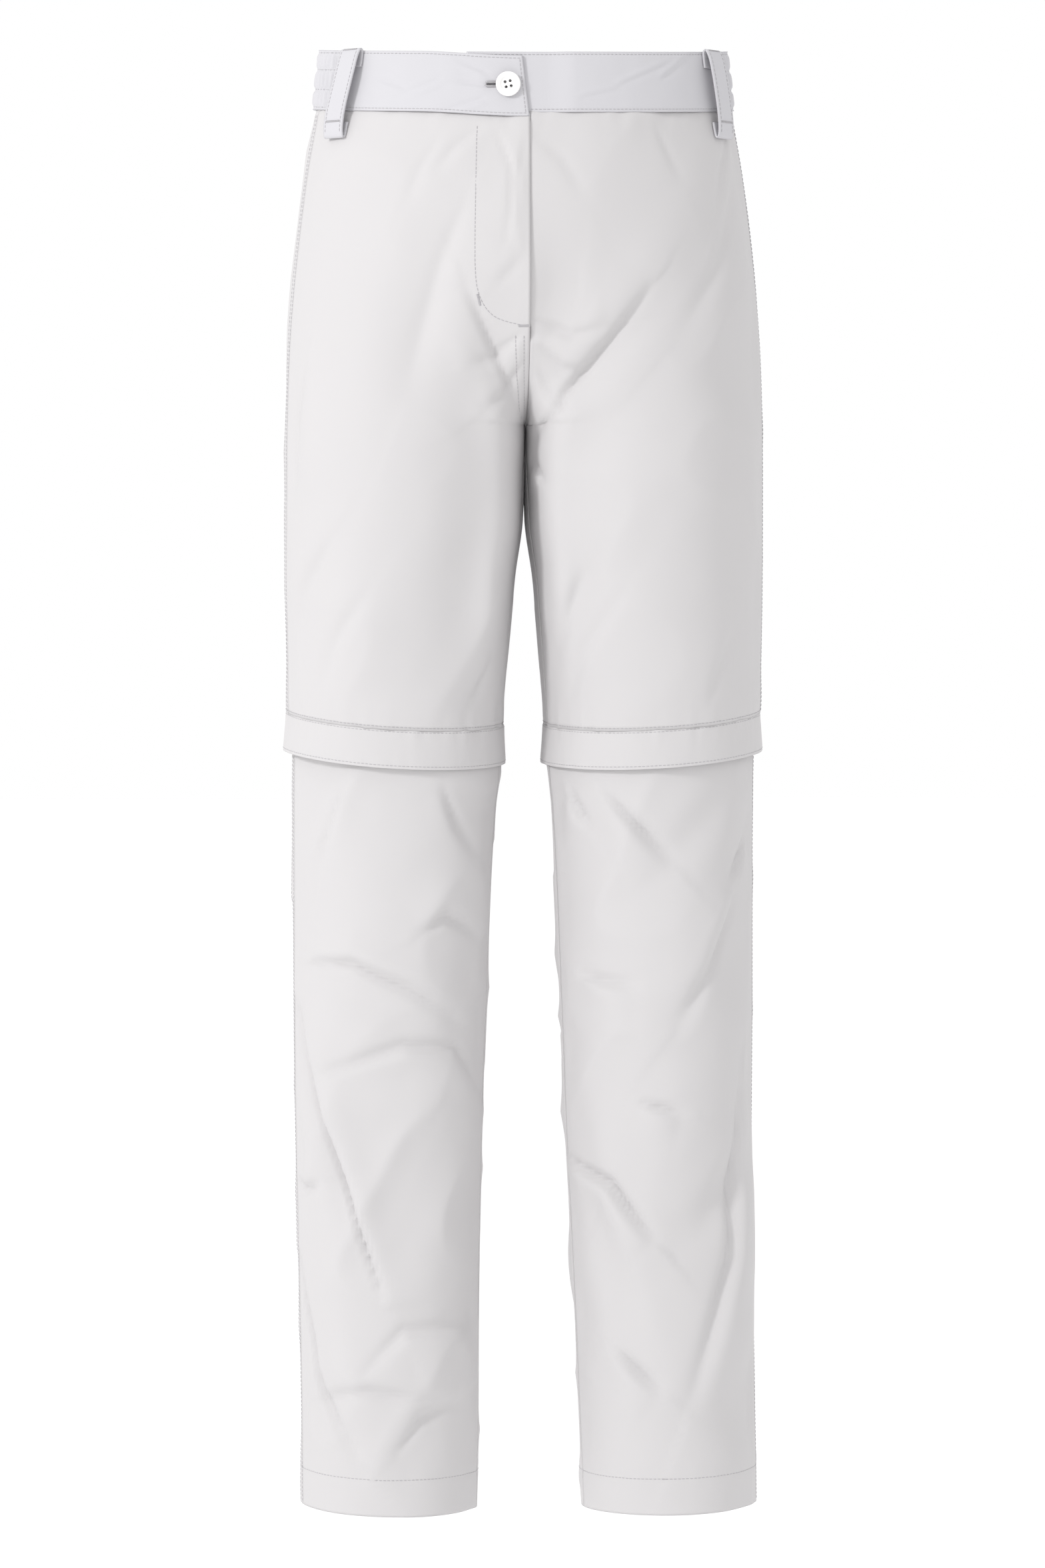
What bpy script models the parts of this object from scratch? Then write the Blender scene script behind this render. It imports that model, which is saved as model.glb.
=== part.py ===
"""Convertible zip-off trousers, filled out as they are when worn, held at the waist.

Metres, +Z up. The front faces -Y, the wearer's right side is at -X. The origin is the
centre of the waist opening, level with the band's top edge at the sides.
"""
import math

import bmesh
import bpy
from mathutils import Vector

MM = 0.001

# Cloth
WALL = 1.2 * MM
BAND_WALL = 2.4 * MM
FLAP_WALL = 1.6 * MM
LOOP_WALL = 1.4 * MM
TAPE_WALL = 1.0 * MM
SEAM_GAP = 0.3 * MM

# Heights
BAND_HEIGHT = 42.0 * MM
FORK_Z = -266.0 * MM
KNEE_Z = -474.0 * MM
HEM_Z = -1031.0 * MM
FLY_END_Z = -203.0 * MM
HEM_TURN_UP = 26.0 * MM

# The waist is lower in front than at the sides, and a little higher behind
FRONT_DIP = 9.3 * MM
BACK_RISE = 2.0 * MM
OVERLAP_DROOP = 2.8 * MM

# Where the seams run, as angles round the form from its outer side towards the front
SIDE_SEAM = 12.0
INSEAM = 14.0
ROUNDNESS = 2.1

# Waistband
ELASTIC_FRONT = 24.0
ELASTIC_BACK = -27.0
GATHERS = 13
GATHER_DEPTH = 0.9 * MM
UNDERLAP = 38.0 * MM
UNDERLAP_TUCK = 2.9 * MM
BAND_END_TOP = -5.2 * MM
BAND_END_FOOT = -0.4 * MM

# Fly
FRONT_TUCK = 1.8 * MM
FRONT_UNDER = 4.0 * MM
FLY_ZIP_DEPTH = 4.6 * MM
FLY_ZIP_X = -9.0 * MM

# Knee
FLAP_HEIGHT = 27.0 * MM
ZIP_ABOVE = 8.0 * MM
ZIP_BELOW = 26.0 * MM
CHAIN_BELOW = 11.5 * MM
LEG_TOP_BELOW = 18.0 * MM
ZIP_INSET = 1.6 * MM
ZIP_SAG = 1.5 * MM
CHAIN_HEIGHT = 1.0 * MM
CHAIN_WIDTH = 4.0 * MM

# Button
BUTTON_D = 17.3 * MM
BUTTON_T = 3.2 * MM
BUTTON_X = -15.1 * MM
BUTTON_Z = -32.6 * MM
BUTTON_HOLE_D = 2.0 * MM
BUTTON_HOLE_PITCH = 3.6 * MM
BUTTON_TURN = 12.0
BUTTON_OFF = 0.7 * MM
THREAD_D = 2.8 * MM

# Belt loops
LOOP_WIDTH = 18.5 * MM

# The body: height, half width, depth in front, depth behind, in millimetres
BODY = (
    (20, 142.5, 98, 101),
    (0, 144.0, 100, 102),
    (-43, 148.3, 104, 107),
    (-84, 155.5, 109, 117),
    (-129, 161.4, 113, 127),
    (-176, 166.2, 115, 132),
    (-228, 169.2, 114, 129),
    (-280, 169.7, 109, 120),
    (-331, 169.7, 102, 106),
    (-380, 169.5, 94, 94),
    (-474, 168.0, 80, 77),
)

# A leg: height, outer side, inner side, depth in front, depth behind, sway, in millimetres
LEG = (
    (-140, 163.0, 0.0, 114, 126, 0.0),
    (-200, 168.0, 0.0, 113, 122, 0.0),
    (-266, 169.7, 0.0, 109, 114, 0.0),
    (-331, 169.7, 0.4, 102, 103, 0.0),
    (-367, 169.6, 5.4, 96, 96, 0.2),
    (-389, 169.5, 7.6, 92, 91, 0.4),
    (-436, 168.8, 11.4, 84, 82, 0.2),
    (-474, 168.2, 14.0, 78, 75, 0.0),
    (-492, 164.6, 15.0, 74, 71.5, -0.3),
    (-510, 164.0, 15.8, 73, 71, -0.4),
    (-531, 163.9, 18.0, 72.5, 70.5, -0.6),
    (-578, 163.7, 21.0, 72, 70, -0.7),
    (-673, 163.6, 24.9, 70.5, 70, -0.6),
    (-768, 162.9, 28.4, 68.5, 69, -0.3),
    (-863, 162.1, 31.7, 66.5, 67.5, 1.2),
    (-957, 162.2, 34.1, 64.5, 66, 3.0),
    (-1040, 162.4, 36.6, 63, 64.5, 4.1),
)

# Large folds on the shorts: side, back, run and height at each end, half width, depth;
# the run is 0 at the side seam and 1 at the centre or the inseam, the rest in millimetres
SHORTS_FOLDS = (
    (1, 0, 0.58, -178, 0.88, -256, 15, 2.6),
    (1, 0, 0.20, -88, 0.62, -216, 22, 2.0),
    (1, 0, 0.70, -365, 0.88, -420, 14, 1.6),
    (-1, 0, 0.80, -112, 0.52, -252, 22, 2.2),
    (-1, 0, 0.80, -178, 0.92, -252, 14, 2.0),
    (-1, 0, 0.10, -230, 0.04, -330, 18, 2.2),
    (-1, 0, 0.28, -350, 0.12, -420, 16, 1.6),
    (1, 1, 0.50, -150, 0.88, -250, 18, 2.4),
    (-1, 1, 0.45, -160, 0.86, -246, 18, 2.4),
    (1, 1, 0.86, -270, 0.45, -300, 15, 2.2),
    (-1, 1, 0.84, -274, 0.50, -310, 15, 2.2),
)

# Large folds on the lower legs: side, back, run and height at each end, half width, depth
LEG_FOLDS = (
    (-1, 0, 0.06, -685, 0.42, -870, 13, 2.6),
    (-1, 0, 0.10, -645, 0.75, -690, 14, 2.0),
    (-1, 0, 0.12, -730, 0.85, -705, 14, 1.8),
    (-1, 0, 0.10, -860, 0.38, -985, 13, 2.2),
    (1, 0, 0.06, -780, 0.42, -835, 13, 2.2),
    (1, 0, 0.90, -740, 0.62, -930, 14, 2.2),
    (1, 0, 0.20, -520, 0.50, -570, 13, 1.8),
    (-1, 1, 0.15, -620, 0.70, -680, 15, 2.2),
    (-1, 1, 0.20, -830, 0.65, -760, 15, 2.2),
    (1, 1, 0.20, -640, 0.70, -600, 15, 2.2),
    (1, 1, 0.15, -760, 0.60, -850, 15, 2.2),
)

# Belt loops: name, angle round the band, lean of the foot outwards in millimetres
LOOPS = (
    ("loop_front_right", -1, 34.0, 9.0),
    ("loop_front_left", 1, 28.0, 4.0),
    ("loop_back_right", -1, -38.0, 0.0),
    ("loop_back_left", 1, -38.0, 0.0),
    ("loop_back_centre", 1, -90.0, 0.0),
)

# A belt loop's middle line: distance off the band, height below the band's top
LOOP_LINE = (
    (1.05, -12.0),
    (1.05, -3.0),
    (1.7, -0.4),
    (3.1, 0.5),
    (4.7, -1.2),
    (6.4, -7.0),
    (7.4, -18.0),
    (7.6, -30.0),
    (7.2, -42.0),
    (6.0, -52.0),
    (4.4, -58.5),
    (2.8, -60.5),
    (1.7, -59.5),
    (1.35, -56.5),
    (1.35, -50.0),
)


def smooth(a, b, value):
    """0 up to a, 1 from b on, eased between them."""
    t = min(1.0, max(0.0, (value - a) / (b - a)))
    return t * t * (3.0 - 2.0 * t)


def along(table, z):
    """The columns of a table at height z, by a cubic through its rows."""
    z = z / MM
    if z >= table[0][0]:
        return [c * MM for c in table[0][1:]]
    if z <= table[-1][0]:
        return [c * MM for c in table[-1][1:]]
    i = 0
    while table[i + 1][0] > z:
        i += 1
    a, b = table[i], table[i + 1]
    before = table[max(0, i - 1)]
    after = table[min(len(table) - 1, i + 2)]
    h = b[0] - a[0]
    t = (z - a[0]) / h
    out = []
    for c in range(1, len(a)):
        slope = (b[c] - a[c]) / h
        m0 = slope if before is a else (b[c] - before[c]) / (b[0] - before[0])
        m1 = slope if after is b else (after[c] - a[c]) / (after[0] - a[0])
        value = (
            (2 * t**3 - 3 * t**2 + 1) * a[c]
            + (t**3 - 2 * t**2 + t) * h * m0
            + (-2 * t**3 + 3 * t**2) * b[c]
            + (t**3 - t**2) * h * m1
        )
        out.append(value * MM)
    return out


def rounded(angle):
    """Cosine and sine of an angle in degrees, on a slightly squared circle."""
    c = math.cos(math.radians(angle))
    s = math.sin(math.radians(angle))
    p = 2.0 / ROUNDNESS
    return math.copysign(abs(c) ** p, c), math.copysign(abs(s) ** p, s)


def body_point(angle, z):
    """A point of the right half of the body, for an angle from its side to its front."""
    wide, front, back = along(BODY, z)
    c, s = rounded(angle)
    return Vector((wide * c, -front * s if s > 0 else -back * s, z))


def leg_point(angle, z):
    """A point of one leg, x taken outwards, for an angle from its outer side."""
    outer, inner, front, back, sway = along(LEG, z)
    c, s = rounded(angle)
    x = 0.5 * (outer + inner) + 0.5 * (outer - inner) * c
    return Vector((x, -front * s if s > 0 else -back * s, z))


def run_angles(run, back):
    """The angles on the body and on the leg, for a run from the side seam inwards."""
    if back:
        return SIDE_SEAM - run * (SIDE_SEAM + 90.0), SIDE_SEAM - run * (SIDE_SEAM + 180.0 + INSEAM)
    return SIDE_SEAM + run * (90.0 - SIDE_SEAM), SIDE_SEAM + run * (180.0 - INSEAM - SIDE_SEAM)


def forking(run, back, z):
    """How far a section has gone from the body's to the leg's."""
    top = -170.0 * MM if back else -150.0 * MM
    if z <= FORK_Z:
        edge = 1.0
    else:
        k = min(1.0, max(0.0, (top - z) / (top - FORK_Z)))
        edge = 1.0 - math.sqrt(1.0 - k * k)
    middle = smooth(-150.0 if back else -110.0, -340.0, z / MM)
    share = run**4
    return middle + (edge - middle) * share


def waist_shift(angle, right_front=False):
    """How much lower or higher the waist is at an angle round the body."""
    s = rounded(angle)[1]
    if s > 0:
        drop = FRONT_DIP * s
        if right_front:
            drop += OVERLAP_DROOP * smooth(60.0, 88.0, angle)
        return -drop
    return -BACK_RISE * s


def knee_shift(angle):
    """How much the knee's line rises or falls round the leg: lower in front, higher outside."""
    a = math.radians(angle)
    return (4.5 * math.cos(a) - 5.0 * math.sin(a) + 1.25 * math.cos(2.0 * a)) * MM


def fold_depth(table, side, back, run, z, scale):
    """How far the large folds draw the cloth in, at a run and height."""
    depth = 0.0
    for f_side, f_back, r0, z0, r1, z1, half, deep in table:
        if f_side != side or f_back != back:
            continue
        x, y = run * scale, z / MM
        x0, y0, x1, y1 = r0 * scale, z0, r1 * scale, z1
        dx, dy = x1 - x0, y1 - y0
        t = ((x - x0) * dx + (y - y0) * dy) / (dx * dx + dy * dy)
        t = min(1.0, max(0.0, t))
        away = math.hypot(x - x0 - t * dx, y - y0 - t * dy)
        ends = 0.25 + 0.75 * math.sin(math.pi * t)
        trough = math.exp(-((away / half) ** 2))
        rim = math.exp(-(((away - 1.7 * half) / half) ** 2))
        depth += deep * ends * (trough - 0.45 * rim)
    return depth * MM


def shorts_point(side, back, run, z):
    """A point of the shorts' outer face, before the folds."""
    body_a, leg_a = run_angles(run, back)
    t = forking(run, back, z)
    p = body_point(body_a, z) * (1.0 - t) + leg_point(leg_a, z) * t
    inseam = leg_point(run_angles(1.0, back)[1], z).x * forking(1.0, back, z)
    meeting = run**8 * smooth(FORK_Z - 62.0 * MM, FORK_Z - 8.0 * MM, z)
    x = max(p.x - inseam * meeting, 0.0) * side
    y = p.y
    if not back and z > -215.0 * MM:
        at_edge = smooth(0.78, 0.95, run)
        if side > 0:
            open_part = smooth(-212.0 * MM, -204.0 * MM, z)
            y += FRONT_TUCK * at_edge * open_part
            under = smooth(-202.0 * MM, -192.0 * MM, z) * smooth(-46.0 * MM, -56.0 * MM, z)
            x -= FRONT_UNDER * smooth(0.86, 1.0, run) * under
    fade_waist = smooth(-170.0, -45.0, z / MM)
    fade_knee = smooth(-280.0, -474.0, z / MM)
    dz = waist_shift(body_a, side < 0 and not back) * fade_waist + knee_shift(leg_a) * fade_knee
    x += 0.5 * SEAM_GAP * side
    y += 0.5 * SEAM_GAP * (1 if back else -1)
    return Vector((x, y, z + dz))


def lower_point(side, angle, z, grow=0.0):
    """A point of the lower leg's form, moved out by grow."""
    p = leg_point(angle, z)
    q = leg_point(angle + 1.0, z) - leg_point(angle - 1.0, z)
    out = Vector((-q.y, q.x, 0.0)).normalized()
    if out.dot(Vector((math.cos(math.radians(angle)), -math.sin(math.radians(angle)), 0.0))) < 0:
        out = -out
    p += out * grow
    sway = along(LEG, z)[4]
    share = 1.0 - 0.7 * smooth(-560.0, -1000.0, z / MM)
    return Vector((p.x * side + sway, p.y, z + knee_shift(angle) * share))


def form_normal(point, side, back, run, z):
    """The way a surface faces, before its folds."""
    e = 0.004
    du = point(side, back, min(run + e, 1.0), z) - point(side, back, max(run - e, 0.0), z)
    dv = point(side, back, run, z + MM) - point(side, back, run, z - MM)
    n = du.cross(dv).normalized()
    return n * (side if back else -side)


def panel_points(point, table, scale, side, back, run, z, wall):
    """Outer and inner point of a panel, drawn in by its large folds."""
    n = form_normal(point, side, back, run, z)
    edge = smooth(0.0, 0.08, run) * smooth(1.0, 0.92, run)
    outer = point(side, back, run, z) - n * fold_depth(table, side, back, run, z, scale) * edge
    inner = outer - n * wall
    if z < FLY_END_Z - 12.0 * MM:
        outer.x = side * max(side * outer.x, 0.5 * SEAM_GAP)
        inner.x = side * max(side * inner.x, 0.5 * SEAM_GAP)
    if run > 0.999:
        inner.x = side * max(side * inner.x, side * outer.x)
    return outer, inner


def lower_panel(side, back, run, z):
    """A point of a lower leg panel, for a run from the side seam to the inseam."""
    angle = run_angles(run, back)[1]
    p = lower_point(side, angle, z)
    p.y += 0.5 * SEAM_GAP * (1 if back else -1)
    return p


def wipe():
    for obj in list(bpy.data.objects):
        bpy.data.objects.remove(obj, do_unlink=True)


def collection(name):
    col = bpy.data.collections.get(name) or bpy.data.collections.new(name)
    if name not in bpy.context.scene.collection.children:
        bpy.context.scene.collection.children.link(col)
    return col


def material(name, colour, roughness, metallic=0.0):
    mat = bpy.data.materials.new(name)
    mat.use_nodes = True
    bsdf = mat.node_tree.nodes["Principled BSDF"]
    bsdf.inputs["Base Color"].default_value = (*colour, 1.0)
    bsdf.inputs["Roughness"].default_value = roughness
    bsdf.inputs["Metallic"].default_value = metallic
    return mat


CLOTH = (0.70, 0.69, 0.685)
BAND = (0.68, 0.675, 0.69)
TAPE = (0.62, 0.61, 0.605)
METAL = (0.55, 0.55, 0.56)
PLASTIC = (0.86, 0.85, 0.84)


def add_object(name, mesh, colour, roughness, metallic=0.0):
    obj = bpy.data.objects.new(name, mesh)
    TROUSERS.objects.link(obj)
    mesh.materials.append(material(name, colour, roughness, metallic))
    return obj


def grid_faces(bm, rows, closed=False):
    """Quads between rows of vertices, each row the same length."""
    for lower, upper in zip(rows, rows[1:]):
        count = len(lower)
        last = count if closed else count - 1
        for i in range(last):
            j = (i + 1) % count
            bm.faces.new((lower[i], lower[j], upper[j], upper[i]))


def face_out(bm, centre):
    """Turns an open sheet so that its faces look away from the given centre line."""
    bm.normal_update()
    total = 0.0
    for face in bm.faces:
        mid = face.calc_center_median()
        away = mid - Vector((centre[0], centre[1], mid.z))
        total += face.normal.dot(away) * face.calc_area()
    if total < 0:
        bmesh.ops.reverse_faces(bm, faces=bm.faces)


def sheet(name, points, centre, wall, colour, closed=False):
    """A cloth piece: a grid of its outer face, made into a wall by Solidify."""
    bm = bmesh.new()
    rows = [[bm.verts.new(p) for p in row] for row in points]
    grid_faces(bm, rows, closed)
    face_out(bm, centre)
    mesh = bpy.data.meshes.new(name)
    bm.to_mesh(mesh)
    bm.free()
    for poly in mesh.polygons:
        poly.use_smooth = True
    obj = add_object(name, mesh, colour, 0.9)
    solid = obj.modifiers.new("wall", "SOLIDIFY")
    solid.thickness = wall
    solid.offset = -1.0
    solid.use_even_offset = True
    solid.use_quality_normals = True
    solid.use_rim = True
    return obj


def wall_between(name, outer, inner, colour, roughness=0.9, closed=False):
    """A closed body between an outer and an inner grid of the same size."""
    bm = bmesh.new()
    out_rows = [[bm.verts.new(p) for p in row] for row in outer]
    in_rows = [[bm.verts.new(p) for p in row] for row in inner]
    grid_faces(bm, out_rows, closed)
    grid_faces(bm, [list(reversed(row)) for row in in_rows], closed)
    count = len(outer[0])
    last = count if closed else count - 1
    for i in range(last):
        j = (i + 1) % count
        bm.faces.new((out_rows[0][j], out_rows[0][i], in_rows[0][i], in_rows[0][j]))
        bm.faces.new((out_rows[-1][i], out_rows[-1][j], in_rows[-1][j], in_rows[-1][i]))
    if not closed:
        for k in range(len(outer) - 1):
            a, b = out_rows[k], out_rows[k + 1]
            c, d = in_rows[k], in_rows[k + 1]
            bm.faces.new((a[0], b[0], d[0], c[0]))
            bm.faces.new((b[-1], a[-1], c[-1], d[-1]))
    bmesh.ops.recalc_face_normals(bm, faces=bm.faces)
    mesh = bpy.data.meshes.new(name)
    bm.to_mesh(mesh)
    bm.free()
    for poly in mesh.polygons:
        poly.use_smooth = True
    return add_object(name, mesh, colour, roughness)


def shorts_rows(back):
    """Heights down the shorts, along the centre edge and along the side seam."""
    top = -BAND_HEIGHT - SEAM_GAP - 0.5 * MM
    curve_top = -170.0 * MM if back else -150.0 * MM
    centre = [top + (curve_top - top) * i / 5 for i in range(6)]
    turn = [curve_top + (FORK_Z - curve_top) * math.sin(math.radians(a)) for a in
            ((12, 24, 34, 44, 54, 63, 71, 78, 84, 90) if back else
             (15, 22, 26, 31, 40, 50, 60, 70, 80, 90))]
    leg = [FORK_Z + (KNEE_Z - FORK_Z) * f for f in (0.07, 0.18, 0.32, 0.48, 0.65, 0.83, 1.0)]
    centre = centre + turn + leg
    count = len(centre)
    side = [top + (KNEE_Z - top) * i / (count - 1) for i in range(count)]
    return side, centre


def runs(back):
    """The runs at which a leg's panels have their columns, closer towards the inside."""
    columns = 14 if back else 12
    return [1.0 - (1.0 - i / columns) ** (1.0 if back else 1.15) for i in range(columns + 1)]


def ring_angles():
    """The same columns as angles all round a leg."""
    front = [run_angles(run, False)[1] for run in runs(False)]
    back = [run_angles(run, True)[1] for run in runs(True)]
    return front[:-1] + [a + 360.0 for a in reversed(back[1:])]


def make_shorts(name, side, back):
    edge, centre = shorts_rows(back)
    outer, inner = [], []
    for at_side, at_centre in zip(edge, centre):
        pairs = []
        for run in runs(back):
            z = at_side + (at_centre - at_side) * run**1.6
            pairs.append(panel_points(shorts_point, SHORTS_FOLDS, 230.0, side, back, run, z, WALL))
        outer.append([pair[0] for pair in pairs])
        inner.append([pair[1] for pair in pairs])
    return wall_between(name, outer, inner, CLOTH)


def make_lower(name, side, back):
    top = KNEE_Z - LEG_TOP_BELOW
    stitch = HEM_Z + HEM_TURN_UP
    heights = [top + (stitch - top) * i / 13 for i in range(14)]
    heights += [stitch - 1.2 * MM, stitch - 0.5 * HEM_TURN_UP, HEM_Z]
    outer, inner = [], []
    for z in heights:
        wall = WALL * (1.0 + smooth(stitch + 1.5 * MM, stitch - 1.0 * MM, z))
        pairs = [
            panel_points(lower_panel, LEG_FOLDS, 210.0, side, back, run, z, wall)
            for run in runs(back)
        ]
        outer.append([pair[0] for pair in pairs])
        inner.append([pair[1] for pair in pairs])
    return wall_between(name, outer, inner, CLOTH)


def band_point(side, angle, down, grow=0.0, right_front=False):
    """A point of the waistband, down from its top edge, moved out by grow."""
    z = -0.5 * MM - down
    p = body_point(angle, z)
    q = body_point(angle + 1.0, z) - body_point(angle - 1.0, z)
    out = Vector((-q.y, q.x, 0.0)).normalized()
    if out.dot(Vector((p.x, p.y, 0.0))) < 0:
        out = -out
    p += out * grow
    p.z += waist_shift(angle, right_front)
    return Vector((p.x * side, p.y, p.z))


BAND_ROWS = (0.0, 0.33, 0.67, 1.0)


def band_angle(x, down):
    """The angle at which the band's front stands at a distance x from the centre."""
    wide = along(BODY, -down)[0]
    c = min(1.0, abs(x) / wide) ** (ROUNDNESS / 2.0)
    return math.degrees(math.acos(c))


def make_front_band_right():
    points = []
    for f in BAND_ROWS:
        down = f * BAND_HEIGHT
        end_x = BAND_END_TOP + (BAND_END_FOOT - BAND_END_TOP) * f
        last = band_angle(end_x, down)
        row = []
        for i in range(15):
            angle = ELASTIC_FRONT + (last - ELASTIC_FRONT) * i / 14
            row.append(band_point(-1, angle, down, right_front=True))
        points.append(row)
    obj = sheet("band_front_right", points, (0.0, 0.0), BAND_WALL, BAND)
    return obj


def make_front_band_left():
    points = []
    lap = math.degrees(UNDERLAP / (130.0 * MM))
    for f in BAND_ROWS:
        down = f * BAND_HEIGHT
        row = []
        for i in range(19):
            angle = ELASTIC_FRONT + (90.0 + lap - ELASTIC_FRONT) * i / 18
            tuck = UNDERLAP_TUCK * smooth(78.0, 86.0, angle)
            p = band_point(1, min(angle, 180.0 - angle), down, -tuck)
            if angle > 90.0:
                p.x = -p.x
            row.append(p)
        points.append(row)
    return sheet("band_front_left", points, (0.0, 0.0), BAND_WALL, BAND)


def make_side_band(name, side):
    """An elasticated section: gathers stand out of a plain inside."""
    steps = GATHERS * 4
    seam = 0.13
    start = ELASTIC_FRONT - seam
    end = ELASTIC_BACK + seam
    outer, inner = [], []
    for f in (0.0, 0.33, 0.52, 0.72, 1.0):
        down = f * BAND_HEIGHT
        held = 0.35 if f in (0.33, 0.72) else 1.0
        row_out, row_in = [], []
        for i in range(steps + 1):
            a = start + (end - start) * i / steps
            wave = 0.5 - 0.5 * math.cos(2.0 * math.pi * i / 4.0)
            edge = min(1.0, i / 3.0, (steps - i) / 3.0)
            row_out.append(band_point(side, a, down, wave * held * edge * GATHER_DEPTH - 0.2 * MM))
            row_in.append(band_point(side, a, down, -BAND_WALL))
        outer.append(row_out)
        inner.append(row_in)
    return wall_between(name, outer, inner, BAND)


def make_back_band():
    points = []
    seam = 0.13
    first = -ELASTIC_BACK + seam
    for f in BAND_ROWS:
        down = f * BAND_HEIGHT
        row = []
        for i in range(21):
            a = first + (180.0 - 2.0 * first) * i / 20
            p = band_point(-1, -min(a, 180.0 - a), down)
            if a > 90.0:
                p.x = -p.x
            row.append(p)
        points.append(row)
    return sheet("band_back", points, (0.0, 0.0), BAND_WALL, BAND)


def make_loop(name, side, angle, lean):
    """A belt loop: a strip folded under at both ends, standing off the band between them."""
    points = []
    for off, drop in LOOP_LINE:
        down = -drop * MM
        if angle <= -89.0:
            normal = Vector((0.0, 1.0, 0.0))
            base = band_point(1, -90.0, min(down, 75.0 * MM))
            across = Vector((1.0, 0.0, 0.0))
        else:
            base = band_point(side, angle, down)
            ahead = band_point(side, angle + 2.0, down)
            behind = band_point(side, angle - 2.0, down)
            across = Vector((ahead.x - behind.x, ahead.y - behind.y, 0.0)).normalized()
            normal = Vector((across.y, -across.x, 0.0))
            if normal.dot(Vector((base.x, base.y, 0.0))) < 0:
                normal = -normal
        sag = (0.05 if angle <= -89.0 else 0.25) * MM
        shift = -lean * MM * smooth(0.0, 58.0, -drop) if angle > -89.0 else 0.0
        row = []
        for w in (-1.0, -0.5, 0.0, 0.5, 1.0):
            p = base + normal * (off * MM) + across * (w * 0.5 * LOOP_WIDTH + shift)
            p.z = base.z
            inner_layer = 1.0 if off < 2.0 else 0.0
            p -= normal * sag * w * w * inner_layer
            row.append(p)
        points.append(row)
    bm = bmesh.new()
    rows = [[bm.verts.new(p) for p in row] for row in points]
    grid_faces(bm, rows)
    bm.normal_update()
    mesh = bpy.data.meshes.new(name)
    bm.to_mesh(mesh)
    bm.free()
    for poly in mesh.polygons:
        poly.use_smooth = True
    obj = add_object(name, mesh, BAND, 0.9)
    solid = obj.modifiers.new("wall", "SOLIDIFY")
    solid.thickness = LOOP_WALL
    solid.offset = 0.0
    solid.use_even_offset = True
    solid.use_rim = True
    return obj


def make_flap(name, side):
    """The flap that covers the knee zip, sewn in at its top and standing off below."""
    points = []
    for f in (0.0, 0.12, 0.4, 0.7, 1.0):
        z = KNEE_Z - SEAM_GAP - f * (FLAP_HEIGHT - SEAM_GAP)
        row = []
        for a in ring_angles():
            stand = (4.6 + 1.6 * math.cos(math.radians(a))) * MM
            foot = lower_point(side, a, KNEE_Z - FLAP_HEIGHT, stand)
            head = lower_point(side, a, KNEE_Z)
            p = head.lerp(foot, f)
            p.z = z + knee_shift(a)
            row.append(p)
        points.append(row)
    return sheet(name, points, (side * 91.0 * MM, 0.0), FLAP_WALL, CLOTH, closed=True)


def make_knee_zip(name, side):
    """The zip round the knee: tape behind both edges, its chain raised in the middle."""
    chain_z = KNEE_Z - CHAIN_BELOW
    half = 0.5 * CHAIN_WIDTH
    heights = (
        KNEE_Z + ZIP_ABOVE,
        KNEE_Z - 2.0 * MM,
        chain_z + half + 0.4 * MM,
        chain_z + half - 0.4 * MM,
        chain_z - half + 0.4 * MM,
        chain_z - half - 0.4 * MM,
        KNEE_Z - LEG_TOP_BELOW + 2.0 * MM,
        KNEE_Z - ZIP_BELOW,
    )
    outer, inner = [], []
    for k, z in enumerate(heights):
        sag = ZIP_SAG * smooth(KNEE_Z, KNEE_Z - 6.0 * MM, z) * smooth(
            KNEE_Z - LEG_TOP_BELOW, KNEE_Z - LEG_TOP_BELOW + 4.0 * MM, z)
        raised = CHAIN_HEIGHT if k in (3, 4) else 0.0
        row_out, row_in = [], []
        for a in ring_angles():
            row_out.append(lower_point(side, a, z, -ZIP_INSET - sag + raised))
            row_in.append(lower_point(side, a, z, -ZIP_INSET - sag - TAPE_WALL))
        outer.append(row_out)
        inner.append(row_in)
    return wall_between(name, outer, inner, TAPE, closed=True)


def make_slider(name, centre, out, along_dir, size):
    """A zip slider's body: a bevelled block with its length along the chain."""
    length, width, thick = size
    bm = bmesh.new()
    bmesh.ops.create_cube(bm, size=1.0)
    up = out.cross(along_dir).normalized()
    for v in bm.verts:
        narrow = 0.72 if v.co.x > 0 else 1.0
        v.co = (
            centre
            + along_dir * (v.co.x * length)
            + up * (v.co.y * width * narrow)
            + out * (v.co.z * thick)
        )
    mesh = bpy.data.meshes.new(name)
    bm.to_mesh(mesh)
    bm.free()
    obj = add_object(name, mesh, METAL, 0.35, 1.0)
    bevel = obj.modifiers.new("edges", "BEVEL")
    bevel.width = 0.4 * MM
    bevel.segments = 2
    return obj


def make_knee_slider(name, side):
    a = SIDE_SEAM
    z = KNEE_Z - CHAIN_BELOW
    base = lower_point(side, a, z)
    ahead = lower_point(side, a + 2.0, z) - lower_point(side, a - 2.0, z)
    along_dir = Vector((ahead.x, ahead.y, 0.0)).normalized()
    out = Vector((along_dir.y, -along_dir.x, 0.0))
    if out.x * side < 0:
        out = -out
    thick = 1.8 * MM
    face = -ZIP_INSET - ZIP_SAG + CHAIN_HEIGHT + 0.35 * MM
    return make_slider(name, base + out * (face + 0.5 * thick), out, along_dir,
                       (9.0 * MM, 7.0 * MM, thick))


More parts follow.
